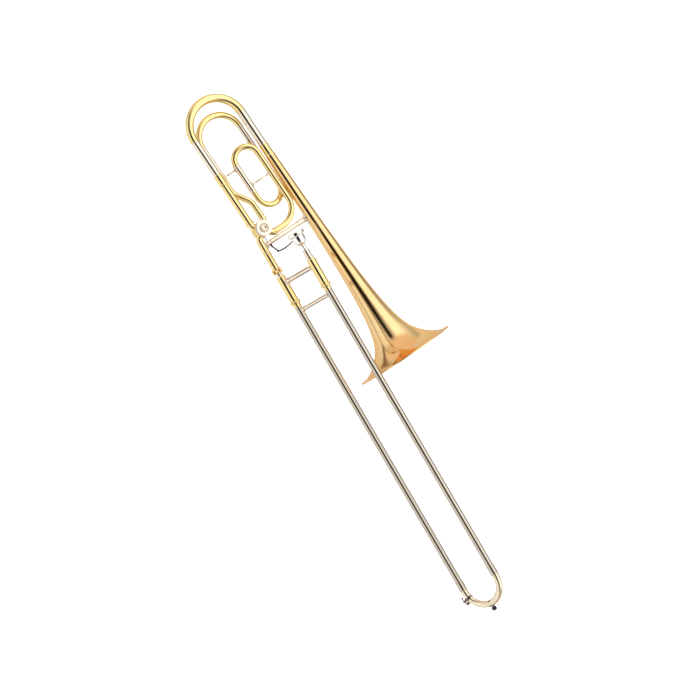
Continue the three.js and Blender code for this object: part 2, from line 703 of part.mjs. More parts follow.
// Turned braces between neighbouring F tubes
function tubeBrace(name, x, from, to) {
  const [low, high] = [vec(x, from.q, from.h), vec(x, to.q, to.h)];
  const direction = high.clone().sub(low);
  const start = from.radius + 0.4;
  const end = direction.length() - to.radius - 0.4;
  const middle = (start + end) / 2;
  const profile = [
    [start, 0],
    [start, 4.2],
    [start + 1.2, 3.4],
    [start + 3.5, 1.6],
    [middle - 2, 1.9],
    [middle, 2.9],
    [middle + 2, 1.9],
    [end - 3.5, 1.6],
    [end - 1.2, 3.4],
    [end, 4.2],
    [end, 0],
  ];
  piece(bellSection, name, "nickelSilver", aimed(turned(profile, 12), low, direction));
}
tubeBrace("loop_brace_lower", -158, { ...F_LOWER, radius: F_TUBE.outer }, { ...LOOP, radius: 7 });
tubeBrace("loop_brace_upper", -115, { ...LOOP, radius: 7 }, { ...F_TOP, radius: F_TUBE.outer });

// ---- thumb lever ----

const qDirection = vec(0, 1, 0);
const leverOrigin = vec(LEVER.x, 0, LEVER.h);
const leverAxis = (low, high, radius) => aimed(rod(low, high, radius, 12), leverOrigin, qDirection);

const bracketStrap = block([-1, 7, -8.4], [5, 29, -5.7]);
const lugs = [[7, 9.5], [26.5, 29]].map(([low, high]) => block([0, low, -16], [6, high, -8]));
const bracket = joined(bracketStrap, ...lugs, leverAxis(5.8, 30.2, 1.2));
piece(bellSection, "lever_bracket", "nickelSilver", bracket);

const tiltSine = Math.sin(rad(LEVER.restTilt));
const tiltCosine = Math.cos(rad(LEVER.restTilt));
const armRoot = vec(LEVER.x, LEVER.armQ, LEVER.h);
const armHeading = vec(tiltSine, 0, -tiltCosine);
const rearArm = aimed(block([1, -2.4, -1.1], [11.8, 2.4, 1.1]), armRoot, armHeading);
const rearPin = aimed(rod(10, 17.6, 1.4, 12), armRoot, armHeading);
const frontArm = pipe(route([
  [LEVER.x, 15.5, LEVER.h],
  [12, 15.5, -7],
  [19, 16, 0.5],
  [25.3, 17, 6.5],
], 5), 1.9, 0, 8);

// The paddle is a strip bent to a shallow arc for the thumb.
const PADDLE = { low: 11, high: 54, x: 22.5, bow: 4, thickness: 1.8, edge: 3.5, width: 9 };
function paddle() {
  const middle = (PADDLE.low + PADDLE.high) / 2;
  const half = (PADDLE.high - PADDLE.low) / 2;
  const arcX = (q, offset) => PADDLE.x + PADDLE.bow * (1 - ((q - middle) / half) ** 2) + offset;
  const steps = 8;
  const run = Array.from({ length: steps + 1 }, (_, i) => PADDLE.low + (2 * half * i) / steps);
  const near = run.map((q) => new THREE.Vector2(arcX(q, 0), q));
  const far = run.map((q) => new THREE.Vector2(arcX(q, PADDLE.thickness), q)).reverse();
  const strip = new THREE.ExtrudeGeometry(new THREE.Shape([...near, ...far]), {
    depth: PADDLE.width,
    bevelEnabled: false,
  });
  return tidy(strip.translate(0, 0, PADDLE.edge));
}
const lever = joined(leverAxis(10, 26, 3), rearArm, rearPin, frontArm, paddle());
piece(bellSection, "thumb_lever", "nickelSilver", cut(lever, leverAxis(9, 27, 1.6)));

// The link rod is an eye at each end of a thin rod; the lever's eye has play.
const leverEye = vec(armPin.x + 33, armPin.y, 0);
const eyeRod = (at, radius) => aimed(rod(LINK_H - 1.2, LINK_H + 1.2, radius, 16), at, outOfPlane);
const eyeBore = (at, radius) => aimed(rod(LINK_H - 3, LINK_H + 3, radius, 16), at, outOfPlane);
const pinEye = vec(armPin.x, armPin.y, 0);
const linkShank = aimed(rod(2.4, 29.5, 1.2, 8), vec(pinEye.x, pinEye.y, LINK_H), vec(1, 0, 0));
const link = joined(eyeRod(pinEye, 3.4), eyeRod(leverEye, 4.9), linkShank);
piece(bellSection, "link_rod", "nickelSilver", cut(link, eyeBore(pinEye, 1.7), eyeBore(leverEye, 3.4)));

export default trombone;
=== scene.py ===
"""Tenor trombone: fine pieces, finishes and a studio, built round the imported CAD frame.

Shapes are written in millimetres in a local frame, and placed in the row frame in metres.
"""

import json
from collections import namedtuple
from math import acos, atan2, cos, degrees, exp, hypot, pi, radians, sin, tan

import bmesh
import bpy
import numpy as np
from mathutils import Matrix, Vector

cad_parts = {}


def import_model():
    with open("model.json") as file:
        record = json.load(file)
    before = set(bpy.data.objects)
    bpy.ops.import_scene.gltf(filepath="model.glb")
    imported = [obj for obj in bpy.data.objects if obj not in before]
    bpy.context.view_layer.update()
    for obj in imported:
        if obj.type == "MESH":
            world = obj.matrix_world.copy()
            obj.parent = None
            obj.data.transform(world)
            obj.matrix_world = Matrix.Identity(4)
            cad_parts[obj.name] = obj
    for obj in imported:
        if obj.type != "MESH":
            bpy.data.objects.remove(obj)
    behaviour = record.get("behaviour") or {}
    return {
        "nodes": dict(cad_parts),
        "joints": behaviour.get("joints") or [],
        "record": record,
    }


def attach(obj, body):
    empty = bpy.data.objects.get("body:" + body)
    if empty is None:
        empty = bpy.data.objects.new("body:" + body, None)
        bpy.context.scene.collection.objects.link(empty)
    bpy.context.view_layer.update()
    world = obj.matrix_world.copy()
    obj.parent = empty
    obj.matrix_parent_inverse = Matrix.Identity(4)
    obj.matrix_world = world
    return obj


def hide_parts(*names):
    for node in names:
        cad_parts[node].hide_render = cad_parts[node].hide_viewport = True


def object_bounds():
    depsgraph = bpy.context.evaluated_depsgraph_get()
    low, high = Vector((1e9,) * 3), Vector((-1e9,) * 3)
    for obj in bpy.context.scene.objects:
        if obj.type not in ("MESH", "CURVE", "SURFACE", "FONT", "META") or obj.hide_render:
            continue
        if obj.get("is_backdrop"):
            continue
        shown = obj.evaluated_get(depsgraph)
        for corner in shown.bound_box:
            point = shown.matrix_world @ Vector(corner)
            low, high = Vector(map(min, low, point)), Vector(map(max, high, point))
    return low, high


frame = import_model()
cad_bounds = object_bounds()

MM = 0.001
FULL = 2 * pi
RECORD = frame["record"]
JOINTS = {joint["name"]: joint for joint in frame["joints"]}
BODY_OF = {node: body for body, nodes in RECORD["behaviour"]["bodies"].items() for node in nodes}
SLOT_OF = {row["node"]: row["material_slot"] for row in RECORD["subparts"]}


# ---- local frames ----

def columns(x_axis, y_axis, z_axis, origin, scale=1):
    """The matrix with these axes and this origin as its columns."""
    axes = Matrix((x_axis, y_axis, z_axis)).transposed() * scale
    return Matrix.Translation(origin) @ axes.to_4x4()


def aimed(origin, direction, up=(0, 0, 1)):
    """A local frame inside another one, in millimetres: its x runs along direction."""
    x_axis = Vector(direction).normalized()
    z_axis = (Vector(up) - x_axis * x_axis.dot(Vector(up))).normalized()
    return columns(x_axis, z_axis.cross(x_axis), z_axis, Vector(origin))


def standing(origin):
    """A local frame whose x points along the other frame's z."""
    return aimed(origin, (0, 0, 1), (1, 0, 0))


# Local millimetres to metres in the row frame.
ROW = columns((1, 0, 0), (0, 1, 0), (0, 0, 1), (0, 0, 0), MM)

# The bell section's frame: x forward, q (its y) across to the bell, h (its z) out of that plane.
VALVE_X, VALVE_Q = -30, 14
BELL_X = -Vector(JOINTS["main_tuning_pull"]["axis"])
BELL_H = Vector(JOINTS["rotor_turn"]["axis"])
BELL_Q = BELL_H.cross(BELL_X)
valve_centre = Vector(JOINTS["rotor_turn"]["pos_m"])
bell_origin = valve_centre - (BELL_X * VALVE_X + BELL_Q * VALVE_Q) * MM
BELL = columns(BELL_X, BELL_Q, BELL_H, bell_origin, MM)

Run = namedtuple("Run", "start end y z radius")


def run_of(node, place=ROW):
    """Where a CAD tube lies in a local frame: its ends along x, its axis and its outer radius."""
    inverse = place.inverted()
    points = np.array([inverse @ v.co for v in frame["nodes"][node].data.vertices])
    low, high = points.min(0), points.max(0)
    middle = (low + high) / 2
    return Run(low[0], high[0], middle[1], middle[2], (high[1] - low[1]) / 2)


# ---- paths and shells ----

class Path:
    """Points and headings with their distance along, and a normal carried along without twist."""

    def __init__(self, points, headings):
        self.points = [Vector(p) for p in points]
        self.headings = [Vector(h).normalized() for h in headings]
        self.along = [0.0]
        for a, b in zip(self.points, self.points[1:]):
            self.along.append(self.along[-1] + (b - a).length)
        first = self.headings[0]
        side = Vector((0, 0, 1)) if abs(first.z) < 0.9 else Vector((0, 1, 0))
        self.normals = [(side - first * side.dot(first)).normalized()]
        for before, after in zip(self.headings, self.headings[1:]):
            turn = before.rotation_difference(after)
            self.normals.append((turn @ self.normals[-1]).normalized())

    @property
    def length(self):
        return self.along[-1]

    def at(self, distance):
        i = int(np.searchsorted(self.along, distance)) - 1
        i = min(max(i, 0), len(self.points) - 2)
        t = (distance - self.along[i]) / (self.along[i + 1] - self.along[i])
        blend = min(max(t, 0), 1)
        heading = self.headings[i].lerp(self.headings[i + 1], blend).normalized()
        normal = self.normals[i].lerp(self.normals[i + 1], blend).normalized()
        return self.points[i].lerp(self.points[i + 1], t), normal, heading.cross(normal)


def bent(corners, bend, step=4):
    """Straight runs joined by round bends, with a station every few degrees of bend."""
    corners = [Vector(c) for c in corners]
    ways = [(b - a).normalized() for a, b in zip(corners, corners[1:])]
    points, headings = [corners[0]], [ways[0]]
    for i, (before, after) in enumerate(zip(ways, ways[1:])):
        angle = before.angle(after)
        inward = (after - before * after.dot(before)).normalized()
        start = corners[i + 1] - before * bend * tan(angle / 2)
        count = max(2, round(degrees(angle) / step))
        for k in range(count + 1):
            a = angle * k / count
            point = start + before * bend * sin(a) + inward * bend * (1 - cos(a))
            if (point - points[-1]).length > 0.01:
                points.append(point)
                headings.append(before * cos(a) + inward * sin(a))
    if (corners[-1] - points[-1]).length > 0.01:
        points.append(corners[-1])
        headings.append(ways[-1])
    return Path(points, headings)


def through(points):
    """A smooth path through points that lie close together."""
    points = [Vector(p) for p in points]
    ends = [points[0] * 2 - points[1], *points, points[-1] * 2 - points[-2]]
    return Path(points, [b - a for a, b in zip(ends, ends[2:])])


Shell = namedtuple("Shell", "points faces flow")


def outward(points, faces):
    """The faces, turned over if they enclose a negative volume."""
    triangles = np.array([(face[0], j, k) for face in faces for j, k in zip(face[1:], face[2:])])
    a, b, c = (points[triangles[:, i]] for i in range(3))
    volume = np.einsum("ij,ij->", a, np.cross(b, c))
    return faces if volume > 0 else [face[::-1] for face in faces]


def moved(shell, place):
    matrix = np.array(place)
    points = shell.points @ matrix[:3, :3].T + matrix[:3, 3]
    return Shell(points, shell.faces, shell.flow)


def rounded(profile, radius=0.4, closed=True, steps=4):
    """Rounds a profile's corners. A point may state its own radius as a third value."""
    result = []
    count = len(profile)
    for i, (x, r, *own) in enumerate(profile):
        here = np.array((x, r), float)
        at_end = not closed and i in (0, count - 1)
        before = np.array(profile[i - 1][:2], float) - here
        after = np.array(profile[(i + 1) % count][:2], float) - here
        sizes = np.linalg.norm(before), np.linalg.norm(after)
        want = own[0] if own else radius
        if at_end or want == 0 or min(sizes) < 1e-6:
            result.append((x, r))
            continue
        before, after = before / sizes[0], after / sizes[1]
        opening = acos(np.clip(before @ after, -1, 1))
        if opening > radians(172):
            result.append((x, r))
            continue
        reach = min(want / tan(opening / 2), 0.45 * min(sizes))
        for k in range(steps + 1):
            t = k / steps
            point = here + before * reach * (1 - t) ** 2 + after * reach * t ** 2
            result.append(tuple(point))
    return result


def ring_faces(a, b, wrap):
    """Faces between two rows of vertex numbers; a row of one number is a pole."""
    count = max(len(a), len(b))
    for j in range(count if wrap else count - 1):
        k = (j + 1) % count
        if len(a) == 1:
            yield (a[0], b[k], b[j])
        elif len(b) == 1:
            yield (a[j], a[k], b[0])
        else:
            yield (a[j], a[k], b[k], b[j])


def swept(profile, path=None, sides=64, knurl=None, flat=(1, 1), arc=None, ease=0.4):
    """A profile of (distance, radius) carried round a path, or round the x axis.

    It closes on itself unless it starts and ends on the axis. knurl is (count, depth, from, to).
    arc is a range of angles that leaves the ring open, with flat ends.
    """
    solid = profile[0][1] == 0 and profile[-1][1] == 0
    stops = rounded(profile, ease, closed=not solid)
    if not solid:
        stops.append(stops[0])
    rings = [stops[0]]
    for (s0, r0), (s1, r1) in zip(stops, stops[1:]):
        if path:
            low, high = min(s0, s1) + 0.05, max(s0, s1) - 0.05
            inner = [s for s in path.along if low < s < high]
            for s in inner if s1 > s0 else reversed(inner):
                rings.append((s, r0 + (r1 - r0) * (s - s0) / (s1 - s0)))
        rings.append((s1, r1))
    if not solid:
        rings.pop()
    if arc:
        angles = np.linspace(arc[0], arc[1], sides + 1)
    else:
        angles = np.arange(sides) * FULL / sides
    points, flow, rows = [], [], []
    for s, r in rings:
        if path:
            centre, normal, binormal = path.at(s)
        else:
            centre, normal, binormal = Vector((s, 0, 0)), Vector((0, 1, 0)), Vector((0, 0, 1))
        if r == 0:
            rows.append([len(points)])
            points.append(np.array(centre))
            flow.append((s, 0, 0))
            continue
        radii = np.full(len(angles), float(r))
        if knurl and knurl[2] <= s <= knurl[3]:
            radii -= knurl[1] * (0.5 + 0.5 * np.cos(knurl[0] * angles))
        rows.append(list(range(len(points), len(points) + len(angles))))
        across = np.cos(angles) * radii
        over = np.sin(angles) * radii
        ring = np.array(centre) + np.outer(across * flat[0], normal) + np.outer(over * flat[1], binormal)
        points.extend(ring)
        flow.extend(np.column_stack((np.full(len(angles), s), across, over)))
    pairs = list(zip(rows, rows[1:]))
    if not solid:
        pairs.append((rows[-1], rows[0]))
    faces = [face for a, b in pairs for face in ring_faces(a, b, wrap=not arc)]
    if arc:
        faces.append(tuple(row[0] for row in rows))
        faces.append(tuple(row[-1] for row in reversed(rows)))
    points = np.array(points)
    return Shell(points, outward(points, faces), np.array(flow) * MM)


def tube(start, end, outer, bore, **options):
    return swept([(start, bore), (start, outer), (end, outer), (end, bore)], **options)


def rod(start, end, radius, **options):
    return swept([(start, 0), (start, radius), (end, radius), (end, 0)], **options)


def block(low, high, bevel=0.4):
    """A box with rounded edges."""
    mesh = bmesh.new()
    bmesh.ops.create_cube(mesh, size=1)
    low, high = Vector(low), Vector(high)
    for vertex in mesh.verts:
        vertex.co = (low + high) / 2 + Vector(a * b for a, b in zip(vertex.co, high - low))
    bmesh.ops.bevel(mesh, geom=mesh.edges, offset=bevel, segments=3, profile=0.5, affect="EDGES")
    mesh.verts.index_update()
    points = np.array([v.co[:] for v in mesh.verts])
    faces = [tuple(v.index for v in face.verts) for face in mesh.faces]
    mesh.free()
    return Shell(points, outward(points, faces), points * MM)


def ball(centre, radius, squash=1.0):
    profile = [(-radius * cos(a) * squash, radius * sin(a)) for a in np.linspace(0, pi, 15)]
    profile[0], profile[-1] = (-radius * squash, 0), (radius * squash, 0)
    shell = swept(profile, sides=32, ease=0)
    return moved(shell, Matrix.Translation(centre))


def around(y, z, radius, facing):
    """A surface on a tube along x: (x, arc, lift) to a point, with arc 0 at the angle facing."""
    def point(x, arc, lift):
        angle = facing + arc / radius
        return (x, y + (radius + lift) * cos(angle), z + (radius + lift) * sin(angle))
    return point


def pad(surface, centre, half_length, half_width, thickness, squareness=4.0, sides=48):
    """A thin plate that lies on a surface, with a soft edge all round."""
    lifts = [(0, 1), (0.5, 1), (0.82, 1), (0.9, 0.96), (0.96, 0.8), (0.99, 0.5), (1, 0.2)]
    lifts += [(1, -0.1), (0.5, -0.1), (0, -0.1)]
    points, rows = [], []
    for share, lift in lifts:
        if share == 0:
            rows.append([len(points)])
            points.append(surface(centre, 0, lift * thickness))
            continue
        rows.append(list(range(len(points), len(points) + sides)))
        for k in range(sides):
            c, s = cos(FULL * k / sides), sin(FULL * k / sides)
            size = share / (abs(c) ** squareness + abs(s) ** squareness) ** (1 / squareness)
            points.append(surface(centre + half_length * size * c, half_width * size * s, lift * thickness))
    faces = [face for a, b in zip(rows, rows[1:]) for face in ring_faces(a, b, wrap=True)]
    points = np.array(points)
    return Shell(points, outward(points, faces), points * MM)


def coil(radius, wire, turns, pitch, lead=4.0):
    """A helical spring round x, with a straight leg at each end."""
    steps = round(turns * 20)
    spots = []
    for k in range(steps + 1):
        a = FULL * turns * k / steps
        spots.append((pitch * turns * k / steps, radius * cos(a), radius * sin(a)))
    first = Vector(spots[0]) - Vector((0, 0, 1)) * lead
    last_angle = FULL * turns
    last = Vector(spots[-1]) + Vector((0, -sin(last_angle), cos(last_angle))) * lead
    path = through([first, *spots, last])
    return rod(0, path.length, wire, path=path, sides=10, ease=wire * 0.6)


def slotted_head(place, radius, height, slot=0.7, depth=0.5):
    """A domed screw head, cut across by a slot: two half domes on a disc."""
    shells = [rod(-0.2, height - depth, radius, sides=40, ease=0.15)]
    for facing in (0, pi):
        edge = acos(min(1, slot / 2 / radius)) - 0.02
        dome = [(height - depth - 0.1, slot / 2 / sin(edge)), (height - depth - 0.1, radius)]
        dome += [(height - depth + 0.15, radius, 0.1), (height, radius * 0.55)]
        dome += [(height, slot / 2 / sin(edge))]
        middle = facing + pi / 2
        shells.append(swept(dome, sides=20, arc=(middle - edge, middle + edge), ease=0.1))
    return [moved(shell, place) for shell in shells]


# ---- finishes ----

class Nodes:
    """Short names for making a material's or the world's node tree."""

    def __init__(self, tree):
        self.tree = tree
        tree.nodes.clear()

    def add(self, kind, inputs=(), **settings):
        node = self.tree.nodes.new(kind)
        for key, value in settings.items():
            setattr(node, key, value)
        for key, value in dict(inputs).items():
            if isinstance(value, bpy.types.NodeSocket):
                self.tree.links.new(value, node.inputs[key])
            else:
                node.inputs[key].default_value = value
        return node

    def math(self, operation, a, b=0.0, clamp=False):
        return self.add("ShaderNodeMath", {0: a, 1: b}, operation=operation, use_clamp=clamp).outputs[0]

    def noise(self, vector, scale, detail=3.0, roughness=0.55):
        values = {"Vector": vector, "Scale": scale, "Detail": detail, "Roughness": roughness}
        return self.add("ShaderNodeTexNoise", values).outputs["Fac"]

    def stretched(self, vector, scale):
        return self.add("ShaderNodeVectorMath", {0: vector, 1: scale}, operation="MULTIPLY").outputs[0]

    def spread(self, value, low, high, to_low, to_high, smooth=False):
        values = {"Value": value, "From Min": low, "From Max": high, "To Min": to_low, "To Max": to_high}
        blend = "SMOOTHSTEP" if smooth else "LINEAR"
        return self.add("ShaderNodeMapRange", values, interpolation_type=blend).outputs[0]

    def mixed(self, factor, a, b):
        return self.add("ShaderNodeMix", {0: factor, 6: a, 7: b}, data_type="RGBA").outputs[2]

    def place(self):
        return self.add("ShaderNodeTexCoord").outputs["Object"]

    def bump(self, height, strength, distance):
        values = {"Height": height, "Strength": strength, "Distance": distance}
        return self.add("ShaderNodeBump", values).outputs[0]

    def surface(self, inputs):
        shader = self.add("ShaderNodeBsdfPrincipled", inputs)
        self.add("ShaderNodeOutputMaterial", {"Surface": shader.outputs[0]})


def new_material(name):
    material = bpy.data.materials.new(name)
    material.use_nodes = True
    return material, Nodes(material.node_tree)


def metal(name, clean, tarnish, roughness, grain, lacquer=0.0, patches=0.35, edge=(1, 0.93, 0.82)):
    """Polished metal. grain stretches its fine lines: drawn along a tube, or spun round it.

    edge is the tint the metal keeps where it is seen at a low angle.
    """
    material, n = new_material(name)
    flow = n.add("ShaderNodeAttribute", attribute_name="flow").outputs["Vector"]
    place = n.place()
    lines = n.noise(n.stretched(flow, grain), 1.0, 4.0, 0.65)
    cloud = n.noise(place, 34.0, 5.0, 0.6)
    smudge = n.noise(place, 130.0, 3.0, 0.5)
    specks = n.noise(place, 2600.0, 2.0, 0.5)
    age = n.math("MULTIPLY", n.spread(cloud, 0.42, 0.78, 0.0, 1.0), patches, clamp=True)
    age = n.math("ADD", age, n.spread(specks, 0.70, 0.80, 0.0, 0.25), clamp=True)
    colour = n.mixed(age, (*clean, 1), (*tarnish, 1))
    rough = n.math("ADD", n.spread(lines, 0.3, 0.7, roughness * 0.8, roughness * 1.25),
                   n.spread(smudge, 0.52, 0.75, 0.0, 0.07))
    height = n.math("ADD", lines, n.math("MULTIPLY", smudge, 0.4))
    n.surface({
        "Base Color": colour,
        "Metallic": 1.0,
        "Roughness": rough,
        "Normal": n.bump(height, 0.12, 0.00004),
        "Specular Tint": (*edge, 1),
        "Coat Weight": lacquer,
        "Coat Roughness": 0.06,
    })
    return material


def rubber():
    material, n = new_material("moulded_rubber")
    place = n.place()
    grain = n.noise(place, 2200.0, 4.0, 0.6)
    scuff = n.noise(place, 260.0, 4.0, 0.6)
    colour = n.mixed(n.spread(scuff, 0.5, 0.8, 0.0, 1.0), (0.012, 0.012, 0.012, 1), (0.05, 0.048, 0.045, 1))
    n.surface({
        "Base Color": colour,
        "Roughness": n.spread(scuff, 0.3, 0.7, 0.5, 0.75),
        "Normal": n.bump(grain, 0.35, 0.00008),
    })
    return material


def cork():
    material, n = new_material("fine_cork")
    place = n.place()
    cells = n.add("ShaderNodeTexVoronoi", {"Vector": place, "Scale": 1400.0}).outputs["Distance"]
    cloud = n.noise(place, 420.0, 4.0, 0.6)
    colour = n.mixed(n.spread(cloud, 0.35, 0.7, 0.0, 1.0), (0.50, 0.34, 0.19, 1), (0.26, 0.15, 0.07, 1))
    n.surface({
        "Base Color": colour,
        "Roughness": n.spread(cells, 0.0, 0.5, 0.95, 0.8),
        "Normal": n.bump(cells, 0.5, 0.0002),
    })
    return material


DRAWN = (14.0, 1300.0, 1300.0)  # lines per metre along a tube, and across it
SPUN = (1700.0, 30.0, 30.0)

BRASS, BRASS_OLD, BRASS_EDGE = (0.88, 0.70, 0.33), (0.78, 0.57, 0.20), (1.0, 0.90, 0.58)
ROSE, ROSE_OLD, ROSE_EDGE = (0.87, 0.61, 0.295), (0.74, 0.44, 0.17), (1.0, 0.70, 0.42)
NICKEL, NICKEL_OLD = (0.85, 0.75, 0.62), (0.66, 0.55, 0.42)
SLIDE, SLIDE_OLD = (0.58, 0.51, 0.42), (0.46, 0.38, 0.29)
BOW, BOW_OLD = (0.82, 0.72, 0.55), (0.68, 0.55, 0.37)
# The dark nickel's two colours are painted shade and painted dark reflection, far darker than nickel
# silver's own colour; only its patches are random tarnish.
PAINTED_SHADE_NICKEL, PAINTED_SHADE_NICKEL_OLD = (0.22, 0.18, 0.15), (0.06, 0.05, 0.04)
SILVER, SILVER_OLD = (0.94, 0.92, 0.89), (0.78, 0.74, 0.66)

FINISHES = {
    "yellow_brass": metal("yellow_brass_drawn", BRASS, BRASS_OLD, 0.10, DRAWN, 0.25, edge=BRASS_EDGE),
    "yellow_brass_spun": metal("yellow_brass_turned", BRASS, BRASS_OLD, 0.12, SPUN, 0.25, edge=BRASS_EDGE),
    "rose_brass": metal("rose_brass_spun", ROSE, ROSE_OLD, 0.13, SPUN, 0.2, edge=ROSE_EDGE),
    "nickel_silver": metal("nickel_silver_drawn", NICKEL, NICKEL_OLD, 0.09, DRAWN, patches=0.25),
    "slide_nickel": metal("nickel_silver_slide", SLIDE, SLIDE_OLD, 0.08, DRAWN, patches=0.25),
    "nickel_silver_spun": metal("nickel_silver_turned", NICKEL, NICKEL_OLD, 0.12, SPUN, patches=0.25),
    # This finish paints shade and dark reflection into the base colour of the water key, its pin and lever,
    # the link rod, the lever bracket and the thumb lever.
    "shade_painted_nickel": metal("nickel_silver_shade_painted", PAINTED_SHADE_NICKEL, PAINTED_SHADE_NICKEL_OLD, 0.22, DRAWN, patches=0.9),
    "bow_nickel": metal("bow_nickel_drawn", BOW, BOW_OLD, 0.11, DRAWN, 0.2),
    "silver_plate": metal("silver_plate_turned", SILVER, SILVER_OLD, 0.07, SPUN, patches=0.2),
    "black_rubber": rubber(),
    "cork": cork(),
}


# ---- pieces ----

def mesh_object(name, shells, place, finish):
    """One object of closed shells; the flow attribute holds each point as on a straightened tube."""
    points, faces, flow = [], [], []
    for shell in shells:
        base = len(points)
        points.extend(shell.points)
        flow.extend(shell.flow)
        faces.extend(tuple(base + i for i in face) for face in shell.faces)
    matrix = np.array(place)
    points = np.array(points) @ matrix[:3, :3].T + matrix[:3, 3]
    mesh = bpy.data.meshes.new(name)
    mesh.from_pydata(points.tolist(), [], faces)
    attribute = mesh.attributes.new("flow", "FLOAT_VECTOR", "POINT")
    attribute.data.foreach_set("vector", np.array(flow, np.float32).ravel())
    mesh.shade_smooth()
    mesh.set_sharp_from_angle(angle=radians(38))
    mesh.materials.append(FINISHES[finish])
    made = bpy.data.objects.new(name, mesh)
    bpy.context.scene.collection.objects.link(made)
    return made


def piece(nodes, shells, place=ROW, spun=False, finish=None):
    """A fine piece that stands for one or more CAD nodes and takes its body and slot from the record."""
    nodes = [nodes] if isinstance(nodes, str) else nodes
    slot = SLOT_OF[nodes[0]]
    look = finish or (slot + "_spun" if spun else slot)
    shells = [shells] if isinstance(shells, Shell) else shells
    made = mesh_object(nodes[0] + "_fine", shells, place, look)
    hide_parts(*nodes)
    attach(made, BODY_OF[nodes[0]])
    return made


def extra(name, body, slot, shells, place=ROW, spun=False):
    """A small piece that no CAD node stands for."""
    made = mesh_object(name, shells, place, slot + "_spun" if spun else slot)
    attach(made, body)
    return made


def on_axis(run, *shells):
    """Turned shells moved from the x axis to a run's own axis."""
    return [moved(shell, Matrix.Translation((0, run.y, run.z))) for shell in shells]


def spanned(low, high, near, far=None, crest=(), inside=()):
    """A profile from low to high. near counts in from low and far in from high, or mirrors near.

    crest is the middle's radius and rounding. inside counts from low again, for a stepped bore.
    """
    far = reversed(near) if far is None else far
    profile = [(low + step, *rest) for step, *rest in near]
    if crest:
        profile.append(((low + high) / 2, *crest))
    profile += [(high - step, *rest) for step, *rest in far]
    return profile + [(low + step, *rest) for step, *rest in inside]


def turned(node, near, far=None, place=ROW, spun=False, finish=None, crest=(), inside=(), **options):
    """A piece turned about the axis of its own CAD tube, between that tube's ends."""
    run = run_of(node, place)
    options.setdefault("sides", 80)
    profile = spanned(run.start, run.end, near, far, crest, inside)
    piece(node, on_axis(run, swept(profile, **options)), place, spun, finish)


# ---- hand slide ----

upper, lower = run_of("upper_outer_tube"), run_of("lower_outer_tube")
SLIDE_HALF = upper.z
SIDES = {"upper": upper.z, "lower": lower.z}
barrel = run_of("upper_cork_barrel")
STOCKING = 115  # length of the swelled end of an inner tube


def inner_slide_tubes():
    """Inner tubes swell a little at their far end, where the stockings run in the outer tubes."""
    for side in SIDES:
        node = f"{side}_inner_tube"
        r = run_of(node).radius
        near = [(0, r - 0.5), (0, r)]
        far = [(STOCKING + 4, r), (STOCKING, r + 0.14), (1, r + 0.14), (0, r - 0.1), (0, r - 0.5)]
        turned(node, near, far, finish="slide_nickel", sides=72, ease=0.2)


def cork_barrels():
    r = barrel.radius
    near = [(0, 7.2), (0, 7.9, 0.4), (1.6, 8.2, 0.3), (1.6, 8.9, 0.4), (3.4, r, 1.2)]
    far = [(4.2, r), (4.2, r - 0.35, 0.1), (3.6, r - 0.35, 0.1), (3.6, r), (0, r), (0, r - 1)]
    for side in SIDES:
        turned(f"{side}_cork_barrel", near, far, inside=[(4, r - 1), (4, 7.2)])


def barrel_rings():
    """The upper ring has a groove round it; the lower one is the slide lock."""
    run = run_of("upper_barrel_ring")
    r = run.radius
    shoulder = (run.end - run.start) / 2 - 1.1
    near = [(0, 8.1), (0, r - 1.3), (1.0, r, 0.8), (shoulder, r)]
    turned("upper_barrel_ring", near, crest=(r - 0.7, 0.3), spun=True, sides=96)
    # The lock ring is knurled, and its front lip is cut away where the catch passes.
    run = run_of("slide_lock_ring")
    start, end, r, bore = run.start, run.end, run.radius, 8.1
    lip = end - 2.5
    body = [(start, bore), (start, r - 1.1), (start + 0.9, r), (lip, r), (lip, bore)]
    front = [(lip - 0.1, bore), (lip - 0.1, r), (end - 0.9, r), (end, r - 1.1), (end, bore)]
    knurl = (48, 0.32, start + 1.2, lip - 0.3)
    notch = atan2(1.6, r)
    shells = [
        swept([*body[:3], (start + 1.3, r, 0.05), (lip - 0.6, r, 0.05), *body[3:]], sides=192, knurl=knurl),
        swept(front, sides=120, arc=(pi / 2 + notch, pi / 2 + FULL - notch)),
    ]
    piece("slide_lock_ring", on_axis(run, *shells), spun=True)


def cross_brace(node, x, tube_radius, rod_radius, socket_top, flare):
    """A rod between the two slide tubes, with a sleeve at its lower end and a flared foot on each tube."""
    half = SLIDE_HALF - tube_radius
    sleeve = rod_radius + 0.55
    profile = [
        (-half - 0.8, 0), (-half - 0.8, sleeve + flare, 0.3), (-half + 0.6, sleeve + flare * 0.55, 1.5),
        (-half + 2.6, sleeve, 1.5), (socket_top - 0.7, sleeve, 0.3), (socket_top, rod_radius + 0.05, 0.3),
        (half - 3.2, rod_radius, 1.8), (half - 0.8, rod_radius + flare * 0.6, 1.5),
        (half + 0.8, rod_radius + flare, 0.3), (half + 0.8, 0),
    ]
    shells = [moved(swept(profile, sides=72), standing((x, 0, 0)))]
    for z, facing in ((SLIDE_HALF, -pi / 2), (-SLIDE_HALF, pi / 2)):
        surface = around(0, z, tube_radius, facing)
        shells.append(pad(surface, x, rod_radius + 3.4, rod_radius + 1.8, 0.9, squareness=2.6))
    piece(node, shells)


def slide_braces():
    x = (run_of("inner_brace").start + run_of("inner_brace").end) / 2
    cross_brace("inner_brace", x, barrel.radius, 5.3, -24, 1.4)
    x = (run_of("outer_brace").start + run_of("outer_brace").end) / 2
    cross_brace("outer_brace", x, upper.radius, 4.5, -30, 1.3)


